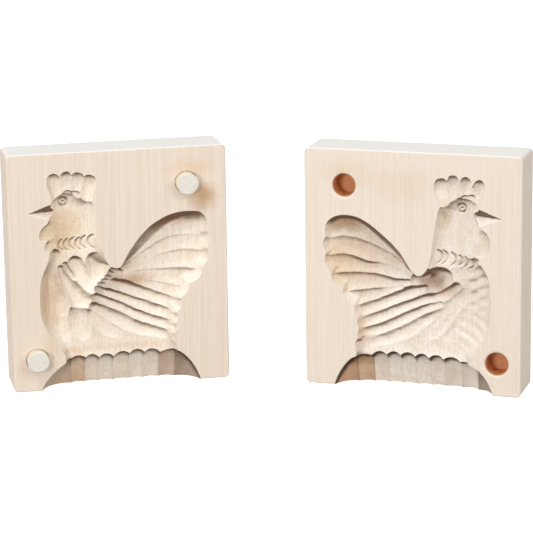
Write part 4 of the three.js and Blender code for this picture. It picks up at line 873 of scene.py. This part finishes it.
def hole_cutter(half, place, radius, depth, lip=0.0):
    """A flat-bottomed drilled hole, with faint rings along its wall where the bit cut. At the
    face its edge is rounded over by the lip, along a quarter circle."""
    ring_height, ring_spacing = BIT_RINGS
    wall = np.linspace(lip, depth, 40)
    ring = radius + ring_height * np.sin(wall * 2 * math.pi / ring_spacing)
    turn = np.linspace(0, math.pi / 2, 7)[:-1]
    mouth = zip(radius + lip * (1 - np.sin(turn)), lip * (1 - np.cos(turn)))
    outside = [(0, -PASS_OVER), (radius + lip, -PASS_OVER)]
    profile = [*outside, *mouth, *zip(ring, wall), (radius / 2, depth), (0, depth)]
    return turned_mesh("hole cutter", half, place, profile, DRILLED)


def carve(block, cutters):
    """Takes the cutters out of the block, one after another, and removes them."""
    for cutter in cutters:
        modifier = block.modifiers.new("cut", "BOOLEAN")
        modifier.operation = "DIFFERENCE"
        modifier.solver = "MANIFOLD"
        modifier.object = cutter
    bpy.context.view_layer.update()
    graph = bpy.context.evaluated_depsgraph_get()
    carved = bpy.data.meshes.new_from_object(block.evaluated_get(graph))
    block.modifiers.clear()
    block.data = carved
    for cutter in cutters:
        bpy.data.objects.remove(cutter)


def smooth_where_cut(mesh):
    """Smooth shading all over but on flat planed faces, with edges sharper than 40 degrees
    left as edges."""
    count = len(mesh.polygons)
    slots = np.zeros(count, np.int32)
    mesh.polygons.foreach_get("material_index", slots)
    mesh.set_sharp_from_angle(angle=math.radians(40))
    mesh.polygons.foreach_set("use_smooth", slots != PLANED)


def mark_nest(half, mesh):
    """Stores on each point how many millimetres it lies below the nest's roof, and the painted
    light and tint of its flute, with painted shade towards the ridge on its right. The alpha is
    how much of it there is: none outside the nest."""
    places = np.zeros(3 * len(mesh.vertices))
    mesh.vertices.foreach_get("co", places)
    u, v = half.from_frame(places.reshape(-1, 3))
    depth, height = nest_outline(half, u)
    attribute = mesh.attributes.new("under_roof", "FLOAT", "POINT")
    attribute.data.foreach_set("value", (height - v).astype(np.float32))
    flute, share = flute_share(half, u)
    right_share = share if half.mirror == 1 else 1 - share
    # Each flute's painted light and tint, with painted shade towards the ridge on its right.
    tints = np.array([linear(tint) for tint in half.flute_light_and_tints])[flute]
    tints[:, :3] *= 1 - RIDGE_SHADE * right_share[:, None] ** RIDGE_SHADE_POWER
    tints[:, 3] = np.where((v > height) | (depth <= 0), 0, FLUTE_LIGHT_AND_TINT_SHARE)
    attribute = mesh.attributes.new("flute_tint", "FLOAT_COLOR", "POINT")
    attribute.data.foreach_set("color", tints.astype(np.float32).ravel())


def carved_half(context, half, hole_gap, hole_depth, lip=0.0):
    """Makes a half: its block, with the hen, the nest and the two holes cut out of it."""
    sizes = context.scene.mould_sizes
    face_colour = tuple(getattr(context.scene.mould_colours, half.node))
    block = new_object("carved_" + half.node, block_mesh(half, sizes))
    block.data.materials.append(planed_sycamore(half, face_colour))
    block.data.materials.append(carved_sycamore(half))
    block.data.materials.append(drilled_sycamore(half, face_colour))
    cutters = [new_object("hen", hen_cutter(half, sizes)), new_object("nest", nest_cutter(half, sizes))]
    radius = sizes.pin_diameter / MM / 2 + hole_gap
    for place in (UPPER_PIN_PLACE, LOWER_PIN_PLACE):
        cutters.append(new_object("hole", hole_cutter(half, place, radius, hole_depth, lip)))
    carve(block, cutters)
    smooth_where_cut(block.data)
    mark_nest(half, block.data)
    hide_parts(half.node)
    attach(block, half.node)


# Materials

def linear(hex_colour):
    """An sRGB hex colour such as "e9d9c4" as linear red, green, blue and alpha."""
    channels = [int(hex_colour[i:i + 2], 16) / 255 for i in (0, 2, 4)]
    return (*[c / 12.92 if c <= 0.04045 else ((c + 0.055) / 1.055) ** 2.4 for c in channels], 1.0)


def add(tree, kind, inputs=None, **settings):
    """Adds a node with its settings and gives its outputs. Its kind is its type's name without
    ShaderNode, and its inputs are values, hex colours, or sockets to link."""
    node = tree.nodes.new("ShaderNode" + kind)
    for name, value in settings.items():
        setattr(node, name, value)
    for name, value in (inputs or {}).items():
        if isinstance(value, bpy.types.NodeSocket):
            tree.links.new(value, node.inputs[name])
        else:
            node.inputs[name].default_value = linear(value) if isinstance(value, str) else value
    return node.outputs


def new_material(name):
    material = bpy.data.materials.new(name)
    material.use_nodes = True
    material.node_tree.nodes.clear()
    return material


class Wood:
    """A wood material in the making: its place in millimetres, swayed a little so that the
    grain wanders, its depth behind the fold line, its place on the plan, and how far the
    surface faces up."""

    def __init__(self, name, half):
        self.material = new_material(name)
        self.tree = self.material.node_tree
        coordinates = add(self.tree, "TexCoord")
        cos, sin = math.cos(-half.turn) / MM, math.sin(-half.turn) / MM
        start = (-(FOLD_LINE.x * cos - FOLD_LINE.y * sin), -(FOLD_LINE.x * sin + FOLD_LINE.y * cos), 0.0)
        self.place = add(self.tree, "Mapping", {
            "Vector": coordinates["Object"], "Location": start,
            "Rotation": (0.0, 0.0, -half.turn), "Scale": (1 / MM, 1 / MM, 1 / MM)})[0]
        across, self.deep, v = add(self.tree, "SeparateXYZ", {0: self.place})
        to_u = {0: across, 1: half.mirror, 2: FOLD_TO_BLOCK + BLOCK_WIDTH}
        u = add(self.tree, "Math", to_u, operation="MULTIPLY_ADD")[0]
        self.plan = add(self.tree, "CombineXYZ", {0: u, 1: v})[0]
        sway = {0: self.noise(28.0, 28.0, 90.0), 1: GRAIN_SWAY}
        offset = add(self.tree, "CombineXYZ", {0: add(self.tree, "Math", sway, operation="MULTIPLY")[0]})
        self.place = add(self.tree, "VectorMath", {0: self.place, 1: offset[0]})[0]
        self.facing_up = add(self.tree, "SeparateXYZ", {0: coordinates["Normal"]})[2]

    def noise(self, across, deep, up, detail=2.0, distortion=0.0):
        """Noise whose cells are so many millimetres across, deep and up."""
        scale = (1 / across, 1 / deep, 1 / up)
        stretched = add(self.tree, "Mapping", {"Vector": self.place, "Scale": scale})[0]
        inputs = {"Vector": stretched, "Scale": 1.0, "Detail": detail, "Distortion": distortion}
        return add(self.tree, "TexNoise", inputs)["Fac"]

    def layer(self, colour, tint, value, span, share=(0.0, 1.0), blend="MIX"):
        """The colour with a tint laid over it. Its share goes from the first to the second, in
        a smooth step, as the value goes from one end of the span to the other."""
        inputs = {"Value": value, "From Min": span[0], "From Max": span[1],
                  "To Min": share[0], "To Max": share[1]}
        amount = add(self.tree, "MapRange", inputs, interpolation_type="SMOOTHSTEP")[0]
        inputs = {0: amount, 6: colour, 7: tint}
        return add(self.tree, "Mix", inputs, data_type="RGBA", blend_type=blend)[2]

    def grain(self, colour, streak, strength):
        """The colour with upright streaks: soft ones a few millimetres apart, with fine
        fibres and short pores between them."""
        soft = self.noise(3.4, 9.0, 160.0, 1.0)
        fibres = self.noise(0.7, 1.6, 60.0, 1.0)
        pores = self.noise(0.3, 0.4, 2.4, 1.0)
        colour = self.layer(colour, streak, soft, (0.40, 0.68), (0.0, 0.45 * strength))
        colour = self.layer(colour, streak, fibres, (0.42, 0.62), (0.0, 0.9 * strength))
        return self.layer(colour, "b99474", pores, (0.58, 0.76), (0.0, 0.5 * strength))

    def stained_and_shaded(self, colour, stains_and_shade):
        """The colour with soft, uneven stains, some of them painted shade. Each is measured from its
        middle, in shares of its half length and half height, and fades out round its edge."""
        uneven = self.noise(5.0, 5.0, 5.0)
        for u, v, half_length, half_height, tint, strength in stains_and_shade:
            inputs = {
                "Vector": self.plan, "Location": (-u / half_length, -v / half_height, 0.0),
                "Scale": (1 / half_length, 1 / half_height, 0.0)}
            shares = add(self.tree, "Mapping", inputs)[0]
            away = add(self.tree, "VectorMath", {0: shares}, operation="LENGTH")["Value"]
            edge = add(self.tree, "Math", {0: uneven, 1: 0.7, 2: away}, operation="MULTIPLY_ADD")[0]
            colour = self.layer(colour, tint, edge, (0.45, 1.5), (strength, 0.0), "MULTIPLY")
        return colour

    def shaded_under_roof(self, colour, strength):
        """Painted shadow: the colour browned in an uneven line right under the nest's roof, where
        the roof shades the back wall.
        """
        under = add(self.tree, "Attribute", attribute_name="under_roof")["Fac"]
        inputs = {0: self.noise(3.0, 3.0, 1.2), 1: -2.4, 2: under}
        uneven = add(self.tree, "Math", inputs, operation="MULTIPLY_ADD")[0]
        browned = self.layer(colour, "3a2a22", uneven, (0.3, 3.2), (strength, 0.0))
        return self.layer(colour, browned, under, (0.05, 0.35))

    def finish(self, colour, roughness, relief, height):
        """Joins colour and relief, whose height is in millimetres, into a dull shader."""
        bump = add(self.tree, "Bump", {"Height": relief, "Distance": height * MM, "Strength": 1.0})[0]
        shader = add(self.tree, "BsdfPrincipled", {
            "Base Color": colour, "Roughness": roughness, "IOR": 1.45, "Specular IOR Level": 0.35,
            "Normal": bump})
        add(self.tree, "OutputMaterial", {"Surface": shader[0]})
        return self.material


def planed_sycamore(half, face_colour):
    """Pale sycamore, planed and sanded, with faint upright grain and a few stains near the
    face, one of them darker still as a painted shadow of the upper pin. Its ends are sanded end
    grain, almost white."""
    wood = Wood("planed sycamore", half)
    colour = wood.grain(face_colour, half.streak_colour, half.grain_strength)
    # Stains near the face, one with a painted shadow of the upper pin in it.
    stained_and_shaded = wood.stained_and_shaded(colour, half.face_stains)
    colour = wood.layer(colour, stained_and_shaded, wood.deep, (half.face + 1.0, half.face + 4.0), (1.0, 0.0))
    ends = wood.layer("fcfaf6", "f2ebe0", wood.noise(0.5, 0.5, 5.0), (0.4, 0.7), (0.0, 0.5))
    facing_end = add(wood.tree, "Math", {0: wood.facing_up}, operation="ABSOLUTE")[0]
    colour = wood.layer(colour, ends, facing_end, (0.35, 0.95))
    return wood.finish(colour, 0.62, wood.noise(0.25, 0.5, 8.0), 0.03)


def carved_sycamore(half):
    """The same wood cut with gouges and left as cut: paler and warmer, in blotches, with fine
    marks of the tool. It has painted light where the cut faces up, which is paler, and painted
    shade where it faces down, which is brown. The nest's flutes have painted light and tints of
    their own, and a painted shadow in an uneven brown line under its roof."""
    wood = Wood("carved sycamore", half)
    colour = wood.grain(half.carved_colour, half.streak_colour, half.grain_strength)
    colour = wood.layer(colour, half.blotch_colour, wood.noise(9.0, 9.0, 14.0), (0.45, 0.7), (0.0, 0.35))
    # Painted light: paler where the cut faces up, towards the lamps.
    colour = wood.layer(colour, "faf4ea", wood.facing_up, (0.05, 0.55), (0.0, 0.6))
    # Stains, and patches of painted shade on walls and in hollows.
    colour = wood.stained_and_shaded(colour, half.cut_stains)
    # Painted light and tint of each flute, with painted shade towards its right-hand ridge.
    flute = add(wood.tree, "Attribute", attribute_name="flute_tint")
    colour = add(wood.tree, "Mix", {0: flute["Alpha"], 6: colour, 7: flute["Color"]}, data_type="RGBA")[2]
    speckle = wood.noise(0.9, 0.9, 1.5, 3.0)
    colour = wood.layer(colour, "e2ceb8", speckle, (0.42, 0.66), (0.0, 0.3), "MULTIPLY")
    # Painted shade: brown where the cut faces down, away from the lamps.
    colour = wood.layer(colour, "64432c", wood.facing_up, (-0.1, -0.72), (0.0, 0.95))
    # Painted shadow: an uneven brown line under the nest's roof.
    colour = wood.shaded_under_roof(colour, half.scorch_strength)
    marks = {0: wood.noise(1.6, 1.6, 0.8, 3.0, 0.6), 1: 2.0, 2: wood.noise(0.3, 0.5, 5.0, 3.0)}
    relief = add(wood.tree, "Math", marks, operation="MULTIPLY_ADD")[0]
    return wood.finish(colour, 0.7, relief, 0.11)


def drilled_sycamore(half, face_colour):
    """Bored wood, scorched orange by the bit, with a dark patch high on one side and a paler
    bottom.
    The rounded edge is as pale as the face."""
    wood = Wood("drilled sycamore", half)
    bottom = half.face + SOCKET_DEPTH
    mouth = (half.face + 0.5 * SOCKET_LIP, half.face + SOCKET_LIP)
    colour = wood.layer("de9f6e", "cb8a5a", wood.noise(3.0, 3.0, 3.0), (0.35, 0.65))
    colour = wood.layer(colour, "e2a470", wood.deep, (bottom - 0.6, bottom - 0.1), (0.0, 0.5))
    colour = wood.stained_and_shaded(colour, HOLE_DARK_PATCHES)
    colour = wood.layer(face_colour, colour, wood.deep, mouth)
    return wood.finish(colour, 0.6, wood.noise(2.0, 0.4, 2.0), 0.08)


def sawn_dowel(end_colour):
    """A birch dowel: its side is yellowish, its sawn end left rough and almost white."""
    wood = Wood("sawn birch dowel", PIN_HALF)
    free_end = PIN_HALF.face - PIN_PROUD
    end = wood.layer(end_colour, "d8ccbc", wood.noise(0.9, 4.0, 0.5, 3.0), (0.45, 0.70), (0.0, 0.55))
    colour = wood.layer(end, "ecdfc2", wood.deep, (free_end + 0.4, free_end + 0.7))
    return wood.finish(colour, 0.8, wood.noise(1.3, 3.0, 0.7, 4.0, 1.5), 0.6)


# Settings

class MouldSizes(bpy.types.PropertyGroup):
    """Sizes of the wood and of its carving."""

    grid_step: bpy.props.FloatProperty(
        name="Carving step", description="Distance between the points of the carved surface",
        default=0.3 * MM, unit="LENGTH")
    ridge_softness: bpy.props.FloatProperty(
        name="Ridge wear", description="How far the ridges between gouge strokes are worn down",
        default=0.1 * MM, unit="LENGTH")
    wall_fillet: bpy.props.FloatProperty(
        name="Wall fillet", description="How softly the walls round over into the beds",
        default=0.3 * MM, unit="LENGTH")
    edge_round: bpy.props.FloatProperty(
        name="Edge rounding", description="Radius of the sanded edges round the faces",
        default=0.8 * MM, unit="LENGTH")
    corner_radius: bpy.props.FloatProperty(
        name="Corner radius", description="Radius of the blocks' corners, seen from the front",
        default=2.5 * MM, unit="LENGTH")
    pin_diameter: bpy.props.FloatProperty(
        name="Pin diameter", description="Diameter of the dowel pins", default=11.0 * MM, unit="LENGTH")


class MouldStage(bpy.types.PropertyGroup):
    """Light and camera."""

    key_power: bpy.props.FloatProperty(
        name="Key light", description="Power of the large soft light in front on the left",
        default=10.5, unit="POWER")
    side_power: bpy.props.FloatProperty(
        name="Side light", description="Power of the large soft light in front on the right",
        default=7.0, unit="POWER")
    front_power: bpy.props.FloatProperty(
        name="Front light", description="Power of the small light low in front", default=11.5, unit="POWER")
    back_power: bpy.props.FloatProperty(
        name="Back light", description="Power of the soft light low behind", default=9.0, unit="POWER")
    fill: bpy.props.FloatProperty(
        name="Fill", description="Strength of the light from all round", default=0.42)
    camera_focal: bpy.props.FloatProperty(
        name="Focal length", description="Focal length of the camera, on a sensor 36 mm wide",
        default=168.6, unit="CAMERA")


class MouldColours(bpy.types.PropertyGroup):
    """Colours of the planed wood and of the pins' ends."""

    pin_half: bpy.props.FloatVectorProperty(
        name="Pin half", description="Colour of the pin half's planed wood",
        default=linear("ecdecf"), size=4, subtype="COLOR")
    socket_half: bpy.props.FloatVectorProperty(
        name="Socket half", description="Colour of the socket half's planed wood",
        default=linear("ecdfd1"), size=4, subtype="COLOR")
    pin_end: bpy.props.FloatVectorProperty(
        name="Pin ends", description="Colour of the pins' sawn ends",
        default=linear("f6f1e9"), size=4, subtype="COLOR")


# Operators

class CarvePinHalf(bpy.types.Operator):
    """Makes the half with the pin seats."""

    bl_idname = "mould.carve_pin_half"
    bl_label = "Carve the pin half"

    def execute(self, context):
        carved_half(context, PIN_HALF, SEAT_GAP, PIN_SEATED + CLOSED_GAP)
        return {"FINISHED"}


class CarveSocketHalf(bpy.types.Operator):
    """Makes the half with the open sockets."""

    bl_idname = "mould.carve_socket_half"
    bl_label = "Carve the socket half"

    def execute(self, context):
        carved_half(context, SOCKET_HALF, SOCKET_GAP, SOCKET_DEPTH, SOCKET_LIP)
        return {"FINISHED"}


class TurnPins(bpy.types.Operator):
    """Makes the two dowel pins, with rough sawn ends."""

    bl_idname = "mould.turn_pins"
    bl_label = "Make the pins"

    @staticmethod
    def saw(u, deep, v):
        """Leaves saw marks on the free end, and chips out of its edge: up to a quarter of a
        millimetre is taken off, in soft waves and along slanting strokes."""
        near_end = np.clip(1 - (deep + PIN_PROUD) / PIN_END_REACH, 0, 1)
        soft = waves(u, v, *PIN_END_WAVES, 61)
        strokes = waves(u + v, (u - v) / 6, *PIN_END_STROKES, 62)
        return deep + near_end * (PIN_END_LOSS + soft + strokes)

    def execute(self, context):
        radius = context.scene.mould_sizes.pin_diameter / MM / 2
        wood = sawn_dowel(tuple(context.scene.mould_colours.pin_end))
        for name, place in (("upper", UPPER_PIN_PLACE), ("lower", LOWER_PIN_PLACE)):
            face = [(radius * share, -PIN_PROUD) for share in np.linspace(0, 0.93, 18)]
            side = [(radius, deep) for deep in np.linspace(-PIN_PROUD + 0.35, 0, 12)]
            profile = [*face, *side, (radius, PIN_SEATED), (0, PIN_SEATED)]
            mesh = turned_mesh(name + " dowel", PIN_HALF, place, profile, worn=self.saw)
            mesh.materials.append(wood)
            piece = new_object(name + "_dowel", mesh)
            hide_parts(name + "_pin")
            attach(piece, "pin_half")
        return {"FINISHED"}


# The camera's place from the fold line, across, along and up, and how it is turned
CAMERA_FROM_FOLD = (54.9, -1220.2, 358.6)
CAMERA_PITCH = math.radians(13.83)
CAMERA_YAW = math.radians(2.64)
CAMERA_ROLL = math.radians(-0.82)

# The lamps: place, the point that each shines at, and diameter, in metres
LAMPS = {
    "key": ((-0.75, -0.8, 1.4), (0, 0, 0.05), 0.8),
    "side": ((1.1, -0.85, 0.8), (0, 0, 0.05), 0.9),
    "front": ((-0.7, -1.7, 0.38), (0, 0, 0.05), 0.5),
    "back": ((0.1, 1.7, 0.06), (0, 0, 0.06), 0.12),
}


def place_camera(focal):
    """The camera that sees the mould from in front and a little above."""
    data = bpy.data.cameras.new("camera")
    data.lens = focal
    data.sensor_width = 36
    camera = new_object("camera", data)
    camera.location = Vector((FOLD_LINE.x, FOLD_LINE.y, 0)) + Vector(CAMERA_FROM_FOLD) * MM
    aim = Euler((math.pi / 2 - CAMERA_PITCH, 0, CAMERA_YAW)).to_matrix()
    camera.rotation_euler = (aim @ Euler((0, 0, CAMERA_ROLL)).to_matrix()).to_euler()
    bpy.context.scene.camera = camera


def area_light(name, place, target, diameter, power):
    data = bpy.data.lights.new(name, "AREA")
    data.shape = "DISK"
    data.size = diameter
    data.energy = power
    lamp = new_object(name, data)
    lamp.location = place
    lamp.rotation_euler = (Vector(target) - Vector(place)).to_track_quat("-Z", "Y").to_euler()


def seen_rays(tree):
    """1 for the rays that show the background: the camera's own, and those from gloss and
    through glass."""
    path = add(tree, "LightPath")
    straight = {0: path["Is Camera Ray"], 1: path["Is Glossy Ray"]}
    every = {0: add(tree, "Math", straight, operation="MAXIMUM")[0], 1: path["Is Transmission Ray"]}
    return add(tree, "Math", every, operation="MAXIMUM")[0]


def white_floor():
    """A pale floor that shows white to the camera and still takes the mould's shadow. The
    light that it throws back on the mould is that of a light grey."""
    half_size = 3.0
    corners = np.array([[-1, -1, 0], [1, -1, 0], [1, 1, 0], [-1, 1, 0]]) * half_size
    mesh = bpy.data.meshes.new("floor")
    mesh.from_pydata(corners.tolist(), [], [(0, 1, 2, 3)])
    material = new_material("white paper floor")
    tree = material.node_tree
    bounce = add(tree, "BsdfDiffuse", {"Color": "b6b2ab"})[0]
    paper = add(tree, "BsdfDiffuse", {"Color": "f4f4f4"})[0]
    lift = add(tree, "Emission", {"Strength": 0.7})[0]
    white = add(tree, "AddShader", {0: paper, 1: lift})[0]
    shown = add(tree, "MixShader", {0: seen_rays(tree), 1: bounce, 2: white})[0]
    add(tree, "OutputMaterial", {"Surface": shown})
    mesh.materials.append(material)
    new_object("floor", mesh)


def white_world(strength):
    """Even light from all round, and plain white past the floor for the rays that show the
    background."""
    world = bpy.data.worlds.new("studio")
    bpy.context.scene.world = world
    world.use_nodes = True
    tree = world.node_tree
    tree.nodes.clear()
    fill = add(tree, "Background", {"Color": "ffffff", "Strength": strength})[0]
    white = add(tree, "Background", {"Color": "ffffff", "Strength": 1.0})[0]
    shown = add(tree, "MixShader", {0: seen_rays(tree), 1: fill, 2: white})[0]
    add(tree, "OutputWorld", {"Surface": shown})


class SetStage(bpy.types.Operator):
    """Sets the floor, the light and the camera."""

    bl_idname = "mould.set_stage"
    bl_label = "Set the stage"

    def execute(self, context):
        stage = context.scene.mould_stage
        white_floor()
        white_world(stage.fill)
        for name, (place, target, diameter) in LAMPS.items():
            area_light(name, place, target, diameter, getattr(stage, name + "_power"))
        place_camera(stage.camera_focal)
        context.scene.view_settings.view_transform = "Standard"
        return {"FINISHED"}


class MouldPanel(bpy.types.Panel):
    """The mould's settings and steps, in the sidebar."""

    bl_idname = "VIEW3D_PT_butter_mould"
    bl_label = "Butter mould"
    bl_space_type = "VIEW_3D"
    bl_region_type = "UI"
    bl_category = "Butter mould"

    def draw(self, context):
        for name in SETTINGS:
            settings = getattr(context.scene, name)
            for value in settings.__annotations__:
                self.layout.prop(settings, value)
        for operator in OPERATORS:
            self.layout.operator(operator.bl_idname)


SETTINGS = {"mould_sizes": MouldSizes, "mould_stage": MouldStage, "mould_colours": MouldColours}
OPERATORS = (SetStage, CarvePinHalf, CarveSocketHalf, TurnPins)
CLASSES = (*SETTINGS.values(), *OPERATORS, MouldPanel)


def register():
    for item in CLASSES:
        bpy.utils.register_class(item)
    for name, settings in SETTINGS.items():
        setattr(bpy.types.Scene, name, bpy.props.PointerProperty(type=settings))


def unregister():
    for name in SETTINGS:
        delattr(bpy.types.Scene, name)
    for item in reversed(CLASSES):
        bpy.utils.unregister_class(item)


def main():
    register()
    bpy.ops.mould.set_stage()
    bpy.ops.mould.carve_pin_half()
    bpy.ops.mould.carve_socket_half()
    bpy.ops.mould.turn_pins()


if __name__ == "__main__":
    main()
